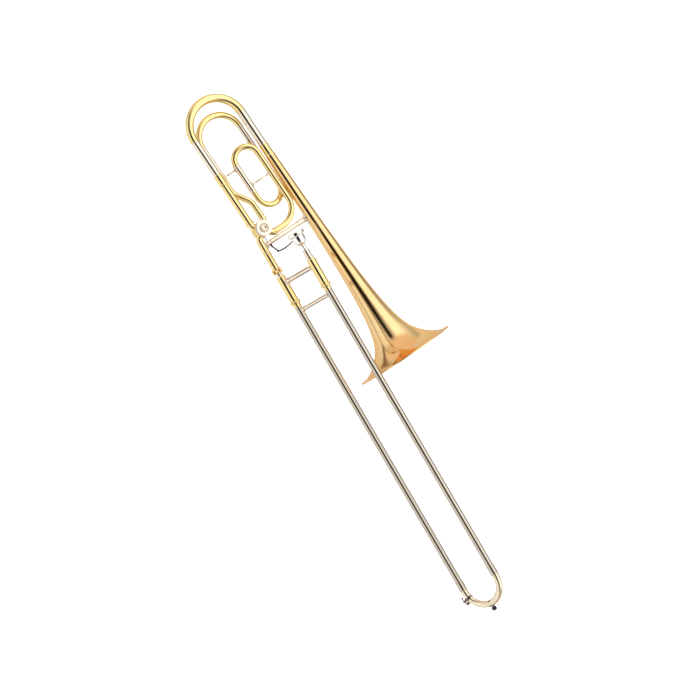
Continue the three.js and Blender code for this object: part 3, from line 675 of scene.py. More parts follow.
def receiver_and_tenon():
    near = [(0, 6), (0, 7.3), (0.8, 8.1, 0.9), (2.6, 8.1, 0.9), (3.4, 7.4, 0.3)]
    far = [(5.2, 7.4), (4.8, 7.9, 0.3), (0.6, 7.9, 0.4), (0, 7.5), (0, 6)]
    turned("mouthpiece_receiver", near, far)
    run = run_of("slide_tenon")
    flange = [(run.end - 3, run.radius), (run.end - 3, 8.1), (run.end, 8.1), (run.end, run.radius)]
    shells = [tube(run.start, run.end, run.radius, 5.8), swept(flange, sides=64)]
    piece("slide_tenon", on_axis(run, *shells))


def mouthpiece():
    """Rim, cup, throat, backbore and shank, as turned from one bar."""
    outside = [
        (0.2, 13.6, 0.6), (0, 15.2, 1.2), (0.5, 17.4, 1.4), (2.4, 18.8, 1.8), (7.4, 18.75, 1.4),
        (9.0, 17.2, 1.0), (9.6, 14.8, 1.0), (11.0, 14.3, 0.6), (15, 14.3, 6), (21.5, 13.7, 6),
        (26.2, 10.9, 5), (30.4, 6.4, 4), (32.4, 5.6, 1), (33.0, 5.9, 0.4), (34.2, 5.9, 0.4),
        (34.9, 4.8, 0.8), (38, 5.4, 3),
    ]
    tip = [(0, 5.0, 0.3), (0, 4.3, 0.2)]
    inside = [(45, 3.6, 4), (28, 3.0, 2), (25, 3.4, 2), (21, 6.6, 3), (15, 10.4, 4), (8, 12.2, 3)]
    inside += [(2.0, 12.7, 1.2)]
    turned("mouthpiece", outside, tip, inside=inside, sides=128, ease=0.5)


def lock_nut():
    run = run_of("bell_lock_nut")
    r = run.radius
    band = [(0, r - 1.1), (0.9, r - 0.2, 0.5), (2.1, r - 0.2, 0.3), (2.5, r - 0.8, 0.2), (2.9, r, 0.2)]
    lip = [(0, 6.95), (2.4, 6.95), (2.4, 8.35)]
    knurl = (54, 0.35, run.start + 2.95, run.end - 2.95)
    turned("bell_lock_nut", [(0, 8.35), *band], [*reversed(band), *lip], sides=216, knurl=knurl, ease=0.3)


def outer_slide_tubes():
    """Each outer tube, its sleeve on the slide bow and the sleeve at its open end."""
    for side in SIDES:
        node = f"{side}_outer_tube"
        r = run_of(node).radius
        turned(node, [(0, r - 0.5), (0, r)], finish="slide_nickel")
        node = f"{side}_bow_sleeve"
        r = run_of(node).radius
        near = [(0, r - 0.55), (0, r - 0.1, 0.2), (0.6, r, 0.2), (1.6, r, 0.2), (1.9, r - 0.25, 0.1)]
        far = [(1.9, r - 0.25, 0.1), (1.6, r, 0.2), (0.5, r, 0.2), (0, r - 0.3), (0, r - 0.55)]
        turned(node, near, far, finish="slide_nickel")
        node = f"{side}_end_sleeve"
        start, end, r = run_of(node).start, run_of(node).end, 8.4
        near = [(0, 7.85), (0, r), (1.3, r), (1.6, r - 0.2, 0.1)]
        far = [(2.0, r - 0.2, 0.1), (1.7, r), (0.6, r, 0.3), (0, 8.0), (0, 7.85)]
        shells = [swept(spanned(start, end, near, far), sides=80)]
        if side == "lower":
            shells.append(block((start + 0.3, -1.2, 8.0), (start + 2.9, 1.2, 10.4), 0.35))
        piece(node, on_axis(Run(start, end, 0, SIDES[side], r), *shells))


BOW_CENTRE_X = 717.4
BOW_RADIUS = run_of("slide_bow").end - BOW_CENTRE_X - SLIDE_HALF


def slide_bow():
    """The half circle that joins the two outer tubes."""
    start, r = run_of("slide_bow").start, BOW_RADIUS
    apex = BOW_CENTRE_X + SLIDE_HALF
    corners = [(x, 0, z) for x, z in ((start, SLIDE_HALF), (apex, SLIDE_HALF))]
    corners += [(x, y, -z) for x, y, z in reversed(corners)]
    path = bent(corners, SLIDE_HALF, step=3)
    total = path.length
    profile = [(0, r - 0.8), (0, r), (total, r), (total, r - 0.8)]
    shells = [swept(profile, path=path, sides=72)]
    shells += beads(path, ((10.4, r), (total - 12.4, r)), 2, 0.2, 0.35, 72)
    piece("slide_bow", shells)


def bumper():
    """The rubber foot at the end of the slide, on its stem."""
    run = run_of("bumper_stem")
    foot = run.start
    stem = [
        (foot - 0.9, 0), (foot - 0.9, 5.0, 0.4), (foot + 0.5, 4.0, 0.6), (foot + 0.9, 2.6, 0.5),
        (foot + 4.5, 2.4, 0.3), (foot + 4.5, 0),
    ]
    piece("bumper_stem", swept(stem, sides=48))
    r = run_of("rubber_bumper").radius
    tip = run_of("rubber_bumper").end - run_of("rubber_bumper").start
    near = [(0.1, 0), (0, 4.2, 0.6), (1.0, r, 0.9), (2.6, r, 0.6), (3.0, r - 0.45, 0.3)]
    far = [(tip - 3.5, r - 0.05, 0.4), (2.2, r - 0.1, 1.6), (0.5, r - 1.7, 1.2), (0, 2.2, 0.8), (0, 0)]
    turned("rubber_bumper", near, far, sides=64)


# ---- water key: t runs round the bow, w across it, r out of it ----

KEY_ANGLE = radians(20)
KEY_PIVOT = (-2, 0, 6)
NIPPLE_T = 5.5


def water_key():
    """The sprung valve that lets water out of the slide bow, on a mount shaped to the bow."""
    out = Vector((sin(KEY_ANGLE), 0, -cos(KEY_ANGLE)))
    tangent = Vector((cos(KEY_ANGLE), 0, sin(KEY_ANGLE)))
    seat = Vector((BOW_CENTRE_X, 0, 0)) + out * (SLIDE_HALF + BOW_RADIUS)
    key = columns(tangent, (0, -1, 0), out, seat * MM, MM)

    def on_bow(t, w, lift):
        """The bow's outer surface: it curves away along t and round the tube along w."""
        along = t / (SLIDE_HALF + BOW_RADIUS)
        round_tube = w / BOW_RADIUS
        radius = BOW_RADIUS + lift
        reach = SLIDE_HALF + radius * cos(round_tube)
        return (reach * sin(along), radius * sin(round_tube), reach * cos(along) - SLIDE_HALF - BOW_RADIUS)

    pin_line = aimed(KEY_PIVOT, (0, 1, 0))
    on_nipple = standing((NIPPLE_T, 0, 0))
    nipple = [(0.3, 1.5), (0.3, 4.2, 0.5), (1.4, 3.3, 0.8), (3.2, 2.9, 0.3), (4.0, 2.9), (4.0, 1.5)]
    strap = pad(on_bow, 0.6, 3.4, 21.6, 1.0, squareness=8, sides=160)
    shells = [
        pad(on_bow, 0.5, 7.5, 7.0, 1.2, squareness=3.2), strap, moved(swept(nipple, sides=40), on_nipple),
    ]
    for w in (-3.6, 2.3):
        shells.append(block((-4.1, w, 0.2), (0.1, w + 1.3, 6.4), 0.35))
        lug_top = swept([(w, 1.0), (w, 2.1), (w + 1.3, 2.1), (w + 1.3, 1.0)], sides=32, ease=0.3)
        shells.append(moved(lug_top, pin_line))
    piece("water_key_mount", shells, key, finish="shade_painted_nickel")

    shells = [moved(rod(-4.4, 4.4, 0.8, sides=24, ease=0.2), pin_line)]
    head_place = aimed((KEY_PIVOT[0], 3.6, KEY_PIVOT[2]), (0, 1, 0))
    shells += slotted_head(head_place, 1.7, 1.1)
    piece("water_key_pin", shells, key, finish="shade_painted_nickel")

    cap = [(5.9, 0), (5.9, 3.3, 0.4), (6.6, 3.7, 0.4), (7.6, 3.6, 0.6), (8.2, 2.6, 0.6)]
    cap += [(8.5, 1.0, 0.4), (8.5, 0)]
    arm = bent([(-10.4, 0, 6.2), (-6, 0, 8.4), (-1, 0, 8.3), (NIPPLE_T, 0, 7.9)], 9, step=8)
    arm_size = [(0, 0), (0, 1.5, 0.3), (4, 1.3), (9, 1.5), (arm.length, 1.9, 0.4), (arm.length, 0)]
    horn = bent([(-2, 0, 7.4), (-2.4, 0, 9.6), (-3.9, 0, 12.2)], 3, step=8)
    shells = [
        moved(swept(cap, sides=48), on_nipple),
        swept(arm_size, path=arm, sides=24, flat=(0.75, 1.25)),
        rod(0, horn.length, 1.05, path=horn, sides=20, ease=0.6),
        ball((-3.9, 0, 12.2), 1.35),
        moved(ball((0, 0, 0), 2.4, 0.7), aimed((-10.6, 0, 6.1), (0.35, 0, 1), (1, 0, 0))),
        moved(tube(-1.9, 1.9, 2.1, 1.1, sides=40), pin_line),
    ]
    piece("water_key_lever", shells, key, finish="shade_painted_nickel")
    cork_pad = [(4.3, 0), (4.3, 2.7, 0.3), (4.7, 2.95, 0.2), (6.2, 2.95), (6.2, 0)]
    piece("water_key_cork", moved(swept(cork_pad, sides=40), on_nipple), key)
    spring_place = aimed((KEY_PIVOT[0], -2.28, KEY_PIVOT[2]), (0, 1, 0), (1, 0, -0.9))
    spring = moved(coil(2.45, 0.28, 6.5, 0.7, lead=4.4), spring_place)
    extra("water_key_spring", "outer_slide", "nickel_silver", [spring], key)


# ---- bell ----

BELL_AXIS = run_of("bell", BELL)
RIM_X = BELL_AXIS.end - 1.4
RIM_RADIUS = BELL_AXIS.radius
FLARE_LENGTH = 17
FLARE_POWER = 0.685
RIM_BEAD = 1.55  # radius of the rolled rim
WALL = 0.8
THICKENING = 14  # length over which the wall thickens towards the rim


def bell_radius(x):
    """A horn's flare: a power of the distance back from the rim, with a slight swell behind the rim."""
    back = RIM_X - x
    fullness = 2.5 * exp(-(((back - 24) / 18) ** 2))
    return RIM_RADIUS * (FLARE_LENGTH / (back + FLARE_LENGTH)) ** FLARE_POWER + fullness * min(1, back / 10)


def bell():
    """The spun bell, its wall a little thicker to the rim, which is rolled over a wire.

    The stations lie closer together towards the rim, and stop short of it where the roll takes over.
    """
    stations, crowding = 150, 2.2
    length = RIM_X - BELL_AXIS.start
    xs = [RIM_X - length * (i / stations) ** crowding for i in range(stations + 1)]
    outside = [(x, bell_radius(x), 0) for x in reversed(xs[4:])]
    wall = [WALL * (1 + THICKENING / (RIM_X - x + THICKENING)) for x in xs]
    bead_x, bead_r = RIM_X - 0.15, RIM_RADIUS - RIM_BEAD + 0.1
    roll = []
    for k in range(17):
        a = radians(200 - 290 * k / 16)
        roll.append((bead_x + RIM_BEAD * cos(a), bead_r + RIM_BEAD * sin(a), 0))
    inside = [(x, bell_radius(x) - w, 0) for x, w in zip(xs[6:], wall[6:])]
    piece("bell", on_axis(BELL_AXIS, swept([*outside, *roll, *inside], sides=192)), BELL)


# ---- main tuning slide and its sleeves ----

TUNING_END = run_of("tuning_bow", BELL).end
BELL_LINE = BELL_AXIS.y
LEG_STEP = -224  # where the bell-side leg narrows to enter its sleeve


def ferrule(node, swell, bore, lip=0.35):
    """A sleeve on its CAD tube with a raised bead at each end. swell is how far it stands out."""
    r = run_of(node, BELL).radius + swell
    near = [(0, bore), (0, r - 0.1), (0.5, r, 0.3), (1.9, r, 0.3), (2.2, r - lip, 0.2)]
    turned(node, near, place=BELL)


def plain_leg(node, bore):
    """A plain tube that slides in a sleeve."""
    turned(node, [(0, bore), (0, run_of(node, BELL).radius)], place=BELL, sides=64)


def cuffed(node, path, r, bore, first, last):
    """A tube along a path, with a raised cuff at each end given as (length, height)."""
    edge, rim = first[0], r + first[1]
    near = [(0, bore), (0, rim, 0.3), (edge, rim, 0.3), (edge + 0.4, r, 0.2)]
    edge, rim = last[0], r + last[1]
    far = [(edge + 0.4, r, 0.2), (edge, rim, 0.3), (0, rim, 0.3), (0, bore)]
    piece(node, swept(spanned(0, path.length, near, far), path=path, sides=72), BELL)


def beads(path, spots, length, sink, lift, sides):
    """Low raised rings round a tube that follows a path. spots are (distance along, tube radius)."""
    for at, r in spots:
        end = at + length
        outline = [(at, r - sink), (at, r + lift, 0.3), (end, r + lift, 0.3), (end, r - sink)]
        yield swept(outline, path=path, sides=sides)


def tuning_slide():
    """The main tuning slide with its two legs, and the sleeves they run in."""
    half = BELL_LINE / 2
    apex = TUNING_END - half
    corners = [(TUNING_END, 0, 0), (apex, 0, 0), (apex, BELL_LINE, 0), (TUNING_END, BELL_LINE, 0)]
    path = bent(corners, half, step=3)
    total = path.length
    neck, wide = 8.6, 9.6
    profile = [(0, neck - 0.8), (0, neck), (total, wide), (total, wide - 0.8)]
    shells = [swept(profile, path=path, sides=80)]
    shells += beads(path, ((0, neck), (total - 3, wide)), 3, 0.3, 0.4, 80)
    piece("tuning_bow", shells, BELL)

    step = run_of("bell_side_leg", BELL).end - LEG_STEP
    near = [(0, 8), (0, 9.7), (0.6, 9.95, 0.3)]
    far = [(step + 3.2, 9.9, 0.2), (step + 2.9, 10.15, 0.2), (step + 0.4, 10.15, 0.3)]
    far += [(step, 9.7), (step, 8.7), (0, 8.7), (0, 8)]
    turned("bell_side_leg", near, far, place=BELL)
    plain_leg("neck_side_leg", 6.6)
    ferrule("bell_sleeve", 0.1, 9)
    ferrule("neck_sleeve", 0.1, 7.5)
    ferrule("bell_sleeve_ferrule", 0.15, 9)


def neckpipe():
    run = run_of("neckpipe", BELL)
    start, end = run.start, run.end
    profile = [
        (start, 7), (start, 8.6), (start + 0.6, 8.8, 0.3), (-149, 8.8, 0.3), (-148.4, 8.5, 0.2),
        (-147.6, 8.5, 0.2), (-147, 8.9, 0.3), (-145.6, 8.9, 0.3), (-145, 7.9, 0.5), (-57, 7.8, 0.5),
        (-56.6, 8.9, 0.4), (-54.6, 8.9, 0.4), (-54.2, 8.55, 0.2), (end - 2.4, 8.55, 0.2),
        (end - 2.0, 8.9, 0.4), (end, 8.9), (end, 7),
    ]
    piece("neckpipe", on_axis(Run(start, end, 0, 0, 0), swept(profile, sides=80)), BELL)


# ---- slide receiver and gooseneck ----

SLIDE_HEADING = (BELL.to_3x3().inverted() @ Vector((1, 0, 0))).normalized()
SLIDE_FOOT = BELL.inverted() @ Vector((0, 0, -SLIDE_HALF * MM))
GOOSE_START = BELL.translation.x / MM - 9.2  # the row's x where the gooseneck meets its valve port


def on_slide_axis(row_x):
    """A point of the lower slide axis, in the bell section's frame."""
    return SLIDE_FOOT + SLIDE_HEADING * row_x


def receiver_and_gooseneck():
    near = [(0, 6.95), (0, 8.1), (0.6, 8.5, 0.4), (3.0, 8.5, 0.4), (3.4, 8.0, 0.2)]
    far = [(6.6, 8.0, 0.2), (6.4, 8.3, 0.2), (5.4, 8.3, 0.2), (5.2, 8.0, 0.2), (0, 8.0), (0, 6.95)]
    turned("slide_receiver", near, far)
    start_x = GOOSE_START + 0.6
    low = on_slide_axis(start_x)
    length = run_of("slide_receiver").start - 0.3 - start_x
    near = [(0, 6.2), (0, 8.3), (0.4, 8.5, 0.3), (2.4, 8.5, 0.3), (3.0, 7.7, 0.4)]
    far = [(2.2, 7.6, 0.3), (1.8, 8.0, 0.3), (0, 8.0), (0, 6.2)]
    neck = swept(spanned(0, length, near, far), sides=80)
    piece("gooseneck", moved(neck, aimed(low, SLIDE_HEADING)), BELL)


# ---- rotary valve ----

CASING_RADIUS = 17
CASING_LOW, CASING_HIGH = -16, 14
VALVE_AXIS = standing((VALVE_X, VALVE_Q, 0))
KNUCKLE_END = -47.6
F_UPPER_X, F_UPPER_START = -12.5, 35
F_LOWER_START, F_LOWER_Q = -48.4, 29


def on_valve(radius, degree, h=0):
    """A point round the valve's axis, in the bell section's frame."""
    angle = radians(degree)
    return Vector((VALVE_X + radius * cos(angle), VALVE_Q + radius * sin(angle), h))


def knuckle(degree, reach, end, ring):
    """A curved port out of the casing to where its tube starts."""
    path = bent([on_valve(15.6, degree), on_valve(CASING_RADIUS + reach, degree), end], 8, step=5)
    total = path.length
    r = 7.4
    profile = [(0, 5.9), (0, r + 0.9, 0.8), (2.4, r, 1.2), (total - ring, r, 0.3)]
    if ring:
        profile += [(total - ring + 0.4, r + 0.4, 0.3), (total, r + 0.4, 0.3)]
    profile += [(total, 5.9)]
    return swept(profile, path=path, sides=64)


def valve_casing():
    """The barrel of the valve, grooved near both ends, and its four ports."""
    r = CASING_RADIUS
    near = [(0, 14.6), (0, r, 0.5), (2.0, r, 0.2), (2.3, r - 0.4, 0.2), (2.8, r - 0.4, 0.2), (3.1, r, 0.2)]
    body = spanned(CASING_LOW, CASING_HIGH, near)
    ports = (
        (225, 2.8, (KNUCKLE_END, 0, 0), 0),
        (315, 7.25, on_slide_axis(GOOSE_START + 0.3), 0),
        (45, 7.8, (F_UPPER_X, F_UPPER_START, 0), 2.4),
        (135, 4.2, (F_LOWER_START, F_LOWER_Q, 0), 2.4),
    )
    shells = [moved(swept(body, sides=128), VALVE_AXIS), *(knuckle(*port) for port in ports)]
    piece("valve_casing", shells, BELL)


def valve_covers():
    """The screwed cap on the seen side, and the bearing plate behind."""
    low = CASING_HIGH + 0.3
    cap = [
        (0, 0), (0, 16.6, 0.3), (0.7, 17.1, 0.2), (3.2, 17.1, 0.2), (4.2, 16.4, 0.8), (4.7, 15.2, 0.8),
        (4.7, 9.4, 0.8), (2.4, 8.4, 1.0), (2.4, 6.8, 0.8), (5.6, 6.3, 0.5), (6.5, 5.7, 0.6),
        (6.7, 4.7, 0.4), (6.0, 3.2, 1.0), (5.3, 0),
    ]
    knurl = (72, 0.3, low + 0.75, low + 3.15)
    cap = swept(spanned(low, low, cap, ()), sides=288, knurl=knurl, ease=0.3)
    shells = [moved(cap, VALVE_AXIS)]
    piece("valve_cap", shells, BELL, spun=True)
    high = CASING_LOW - 0.3
    back = [
        (0, 3.5), (0, 16.6, 0.3), (0.8, 16.9, 0.3), (2.5, 16.9, 0.5), (3.3, 15.4, 0.5), (3.3, 7.4, 0.4),
        (4.6, 6.2, 0.6), (5.3, 5.6, 0.4), (5.3, 3.5),
    ]
    shells = [moved(swept(spanned(high, high, (), back), sides=128), VALVE_AXIS)]
    for degree in (90, 270):
        screw_place = aimed(on_valve(11.4, degree, high - 3.3), (0, 0, -1), (1, 0, 0))
        shells += slotted_head(screw_place, 1.9, 1.1)
    piece("valve_back_plate", shells, BELL, spun=True)


ARM_PIN = on_valve(7, 45)
STOP_LOW, STOP_HIGH = -25.6, -22.4


def stops_and_link():
    """Behind the valve: two cork stops, the arm that turns the rotor between them, and the link rod."""
    for node, degree in (("left_valve_cork", 197), ("right_valve_cork", 343)):
        bar = rod(-26.5, CASING_LOW - 3.9, 2.4, sides=40, ease=0.4)
        piece(node, moved(bar, standing(on_valve(13, degree))), BELL)

    middle = (STOP_LOW + STOP_HIGH) / 2
    hub = [(STOP_LOW, 3.4), (STOP_LOW, 5.6, 0.6), (STOP_HIGH, 5.6, 0.6), (STOP_HIGH, 3.4)]
    shells = [moved(swept(hub, sides=64), VALVE_AXIS)]
    finger = through([on_valve(radius, 225, middle) for radius in (4.6, 7.6, 10.6, 14.9)])
    sizes = [(0, 0), (0, 2.2, 0.3), (finger.length, 2.0, 0.9), (finger.length, 0)]
    shells.append(swept(sizes, path=finger, sides=40, flat=(0.72, 1.0)))
    boss = rod(STOP_LOW, STOP_HIGH, 3.0, sides=40, ease=0.5)
    pin = rod(-29.4, middle, 1.3, sides=32)
    shells += [moved(shell, standing(ARM_PIN)) for shell in (boss, pin)]
    piece("stop_arm", shells, BELL)
    hub_screw = aimed((VALVE_X, VALVE_Q, STOP_LOW + 0.4), (0, 0, -1), (1, 0, 0))
    extra("rotor_screw", "rotor", "nickel_silver", slotted_head(hub_screw, 3.2, 0.9, 0.8), BELL, spun=True)

    link_h = -27.6
    lever_eye = ARM_PIN + Vector((33, 0, 0))
    shells = []
    for at, outer, bore in ((ARM_PIN, 3.4, 1.7), (lever_eye, 4.9, 3.4)):
        eye = tube(link_h - 1.2, link_h + 1.2, outer, bore, sides=56, ease=0.5)
        shells.append(moved(eye, standing(at)))
    rod_place = aimed((ARM_PIN.x, ARM_PIN.y, link_h), (1, 0, 0))
    shank = [
        (2.6, 0), (2.6, 1.6, 0.3), (6.5, 1.6, 0.4), (7.2, 1.1, 0.3), (24.2, 1.1, 0.3), (24.9, 1.6, 0.4),
        (28.9, 1.6, 0.3), (28.9, 0),
    ]
    shells.append(moved(swept(shank, sides=32), rod_place))
    piece("link_rod", shells, BELL, finish="shade_painted_nickel")


# ---- bell brace ----

BRACE_X = 1


def bell_brace():
    """A rod from the gooseneck to a long foot that lies along the bell."""
    under = BELL_LINE - bell_radius(BRACE_X)
    profile = [
        (2.2, 0), (2.2, 7.2, 0.4), (4.0, 6.4, 1.5), (6.4, 4.7, 2), (15.4, 4.6, 0.3), (16.2, 5.2, 0.5),
        (83.4, 5.2, 0.3), (84.2, 6.1, 0.4), (86.0, 6.1, 0.4), (86.4, 5.8, 0.2), (94.6, 5.8, 0.2),
        (95.0, 6.1, 0.4), (96.6, 6.1, 1.2), (under - 1.5, 7.2, 2.0), (under + 0.6, 8.4, 0.5),
        (under + 0.6, 0),
    ]
    rod_place = aimed((BRACE_X, 0, 0), (0, 1, 0))

    def under_bell(x, arc, lift):
        radius = bell_radius(x) + lift
        angle = -pi / 2 + arc / bell_radius(x)
        return (x, BELL_LINE + radius * sin(angle), radius * cos(angle))

    shells = [moved(swept(profile, sides=72), rod_place)]
    shells.append(pad(under_bell, BRACE_X, 15, 6.5, 1.2, squareness=2.4, sides=64))
    foot = SLIDE_FOOT + SLIDE_HEADING * ((BRACE_X - SLIDE_FOOT.x) / SLIDE_HEADING.x)

    def on_gooseneck(x, arc, lift):
        radius = 7.6 + lift
        centre = foot + SLIDE_HEADING * (x - BRACE_X)
        return (centre.x, centre.y + radius * cos(arc / 7.6), radius * sin(arc / 7.6))

    shells.append(pad(on_gooseneck, BRACE_X, 9.5, 7.5, 1.1, squareness=2.6))
    piece("bell_brace", shells, BELL)


# ---- F attachment ----

F_UPPER = run_of("f_upper_sleeve", BELL)
F_LOWER = run_of("f_lower_sleeve", BELL)
LOOP = run_of("loop_tube", BELL)
F_RADIUS, F_BORE = 6.6, 5.9
F_TOP_Q, F_TOP_H = 97, 3
TOP_BOW_X, BOTTOM_BOW_X = -163, -88
LOWER_BEND_X = (-86, -121)


def u_turn(x, first, second, direction):
    """Corner points of a half circle between two tubes that run along x."""
    radius = hypot(second[0] - first[0], second[1] - first[1]) / 2
    apex = x + direction * radius
    return radius, [(x, *first), (apex, *first), (apex, *second), (x, *second)]


def joined(first, second):
    """Two paths, one after the other, as one."""
    return Path([*first.points, *second.points[1:]], [*first.headings, *second.headings[1:]])


def f_tubing():
    """The upper F tube with the small top bow, the bottom bow, and the lower F tube."""
    top = (F_TOP_Q, F_TOP_H)
    loop = (LOOP.y, LOOP.z)
    start = (F_UPPER_X, F_UPPER_START + 0.7, 0)
    climb = bent([start, (F_UPPER_X, *top), (TOP_BOW_X, *top)], 41.5)
    bend, corners = u_turn(TOP_BOW_X, top, loop, -1)
    path = joined(climb, bent(corners, bend))
    cuffed("f_tube_upper", path, F_RADIUS, F_BORE, first=(5, 0.5), last=(4, 0.4))
    ferrule("loop_tube", 0.05, 6, lip=0.3)

    bend, corners = u_turn(BOTTOM_BOW_X, loop, (F_UPPER.y, F_UPPER.z), 1)
    corners[0] = (LOOP.end + 0.3, *loop)
    corners[-1] = (F_UPPER.end + 0.3, F_UPPER.y, F_UPPER.z)
    cuffed("bottom_bow", bent(corners, bend), 6.2, 5.6, first=(3.5, 0.4), last=(5, 0.5))

    path = bent([
        (F_LOWER_START - 0.3, F_LOWER_Q, 0), (LOWER_BEND_X[0], F_LOWER_Q, 0),
        (LOWER_BEND_X[1], F_LOWER.y, F_LOWER.z), (F_LOWER.end + 0.3, F_LOWER.y, F_LOWER.z),
    ], 25)
    cuffed("f_tube_lower", path, F_RADIUS, F_BORE, first=(5, 0.5), last=(4, 0.35))


def f_slide():
    """The F tuning slide and the sleeves its legs run in."""
    for side in ("upper", "lower"):
        ferrule(f"f_{side}_sleeve", 0.05, 6.3, lip=0.3)
        plain_leg(f"f_{side}_leg", 5.5)
    start = run_of("f_bow", BELL).end
    bend, corners = u_turn(start, (F_UPPER.y, F_UPPER.z), (F_LOWER.y, F_LOWER.z), -1)
    cuff = (2.6, 0.3)
    cuffed("f_bow", bent(corners, bend, step=3), 6.9, 6.1, first=cuff, last=cuff)


def turned_brace(node, x, low, high):
    """A baluster between two tubes, each given as (q, h, radius), with a saddle on each."""
    a, b = Vector((x, low[0], low[1])), Vector((x, high[0], high[1]))
    way = (b - a).normalized()
    start, end = low[2] - 0.3, (b - a).length - high[2] + 0.3
    middle = (end - start) / 2
    near = [
        (0, 0), (0, 4.6, 0.3), (1.4, 3.6, 1.0), (3.2, 2.3, 1.4), (5.0, 1.9, 1.5), (middle - 3.2, 2.2, 1.5),
        (middle - 2.4, 2.9, 0.4), (middle - 1.2, 2.2, 0.3),
    ]
    profile = spanned(start, end, near, crest=(3.2, 1.0))
    shells = [moved(swept(profile, sides=48, ease=0.3), aimed(a, way, (1, 0, 0)))]
    facing = atan2(way.z, way.y)
    for (q, h, radius), angle in ((low, facing), (high, facing + pi)):
        shells.append(pad(around(q, h, radius, angle), x, 6.2, 4.4, 0.8, squareness=2.2, sides=40))
    piece(node, shells, BELL, spun=True)


def f_braces():
    loop = (LOOP.y, LOOP.z, 7.0)
    turned_brace("loop_brace_lower", -158, (F_LOWER.y, F_LOWER.z, F_RADIUS), loop)
    turned_brace("loop_brace_upper", -115, loop, (F_TOP_Q, F_TOP_H, F_RADIUS))


# ---- thumb lever ----

LEVER_X, LEVER_H = 3, -13
LEVER_ARM_Q = 20
LEVER_TILT = radians(19.3)
LEVER_LINE = aimed((LEVER_X, 0, LEVER_H), (0, 1, 0))


def lever_bracket():
    """A plate with two cheeks and the axle that the thumb lever turns on."""
    shells = [block((-1, 7, -8.4), (5, 29, -5.7), 0.6)]
    for low, high in ((7, 9.5), (26.5, 29)):
        shells.append(block((0.1, low, LEVER_H), (5.9, high, -7.4), 0.5))
        cheek = tube(low, high, 3.0, 1.25, sides=40, ease=0.4)
        shells.append(moved(cheek, LEVER_LINE))
    shells.append(moved(rod(6.2, 29.6, 1.2, sides=32, ease=0.3), LEVER_LINE))
    head_place = aimed((LEVER_X, 29, LEVER_H), (0, 1, 0))
    shells += slotted_head(head_place, 2.4, 1.4)
    piece("lever_bracket", shells, BELL, finish="shade_painted_nickel")


PADDLE = {"low": 11, "high": 54, "x": 22.5, "bow": 4, "thickness": 1.8, "edge": 3.5, "width": 9}


def paddle():
    """A strip bent to a shallow arc for the thumb, with a rolled edge and round ends."""
    middle = (PADDLE["low"] + PADDLE["high"]) / 2
    half = (PADDLE["high"] - PADDLE["low"]) / 2
    centre_h = PADDLE["edge"] + PADDLE["width"] / 2

    def surface(q, w, lift):
        share = (q - middle) / half
        x = PADDLE["x"] + PADDLE["bow"] * (1 - share ** 2)
        cup = 2.2 * (w / (PADDLE["width"] / 2)) ** 2
        return (x + PADDLE["thickness"] * 0.5 + lift - cup, q, centre_h + w)

    return pad(surface, middle, half, PADDLE["width"] / 2, PADDLE["thickness"], squareness=3.0, sides=96)


def thumb_lever():
    """A hub with an arm to the link rod, an arm to the thumb's paddle, and a return spring."""
    barrel_shell = [
        (10, 1.6), (10, 3.0, 0.5), (12, 3.0, 0.2), (12.3, 2.7, 0.2), (16.3, 2.7, 0.2), (16.6, 3.0, 0.2),
        (23.7, 3.0, 0.2), (24.0, 2.7, 0.2), (25.2, 3.0, 0.2), (26, 3.0, 0.5), (26, 1.6),
    ]
    rear = Vector((sin(LEVER_TILT), 0, -cos(LEVER_TILT)))
    axle = Vector((LEVER_X, LEVER_ARM_Q, LEVER_H))
    rear_path = through([axle + rear * d for d in (1, 4, 8, 11.8)])
    rear_sizes = [(0, 0), (0, 2.4, 0.3), (rear_path.length, 2.0, 0.8), (rear_path.length, 0)]
    rear_pin = through([axle + rear * d for d in (10, 13, 17.6)])
    front = bent([(LEVER_X, 15.5, LEVER_H), (12, 15.5, -7), (19, 16, 0.5), (25.3, 17, 6.5)], 5, step=6)
    tip = front.length
    front_sizes = [(0, 0), (0, 2.3, 0.3), (tip * 0.5, 1.9), (tip, 2.2, 0.8), (tip, 0)]
    shells = [
        moved(swept(barrel_shell, sides=56), LEVER_LINE),
        swept(rear_sizes, path=rear_path, sides=36, flat=(1.0, 0.5)),
        rod(0, rear_pin.length, 1.4, path=rear_pin, sides=28, ease=0.5),
        swept(front_sizes, path=front, sides=36, flat=(1.0, 0.9)),
        paddle(),
    ]
    piece("thumb_lever", shells, BELL, finish="shade_painted_nickel")
    spring_place = aimed((LEVER_X, 11.2, LEVER_H), (0, 1, 0), (-1, 0, 0.4))
    spring = moved(coil(3.6, 0.4, 5.5, 1.05, lead=8), spring_place)
    extra("lever_spring", "bell_section", "nickel_silver", [spring], BELL)


# ---- carried-over CAD nodes ----

def hidden_nodes():
    """Inner pieces that keep their CAD shape and only take a finish."""
    looks = {"upper_barrel_cork": "cork", "lower_barrel_cork": "cork", "rotor": "yellow_brass_spun"}
    for node, look in looks.items():
        shown = frame["nodes"][node]
        shown.data.materials.clear()
        shown.data.materials.append(FINISHES[look])


# ---- studio ----

# The studio's brightness at angles in degrees about X: the front is 0, the top 90, the back 180.
# Tubes along X see one set of values, and surfaces that flare away from X another.
DARK = 0.008
BELOW_STRIP = [(-180, 0.90), (-130, 0.80), (-90, 0.92), (-60, 1.02), (-38, 1.05), (-15, 1.18), (-1, 1.10)]
ABOVE_STRIP = [(56, 0.95), (64, 1.50), (108, 1.50)]
TUBE_STRIP = [(8, 0.30), (15, DARK), (40, DARK), (48, 0.20)]
TUBE_EDGE = [(120, 0.80), (130, 0.42), (141, 0.24), (152, 0.40), (166, 0.78)]
FLARE_STRIP = [(13, 0.45), (20, DARK), (33, DARK), (40, 0.50)]
FLARE_EDGE = [(128, 1.10), (146, 0.88), (162, 0.62), (174, 0.60)]


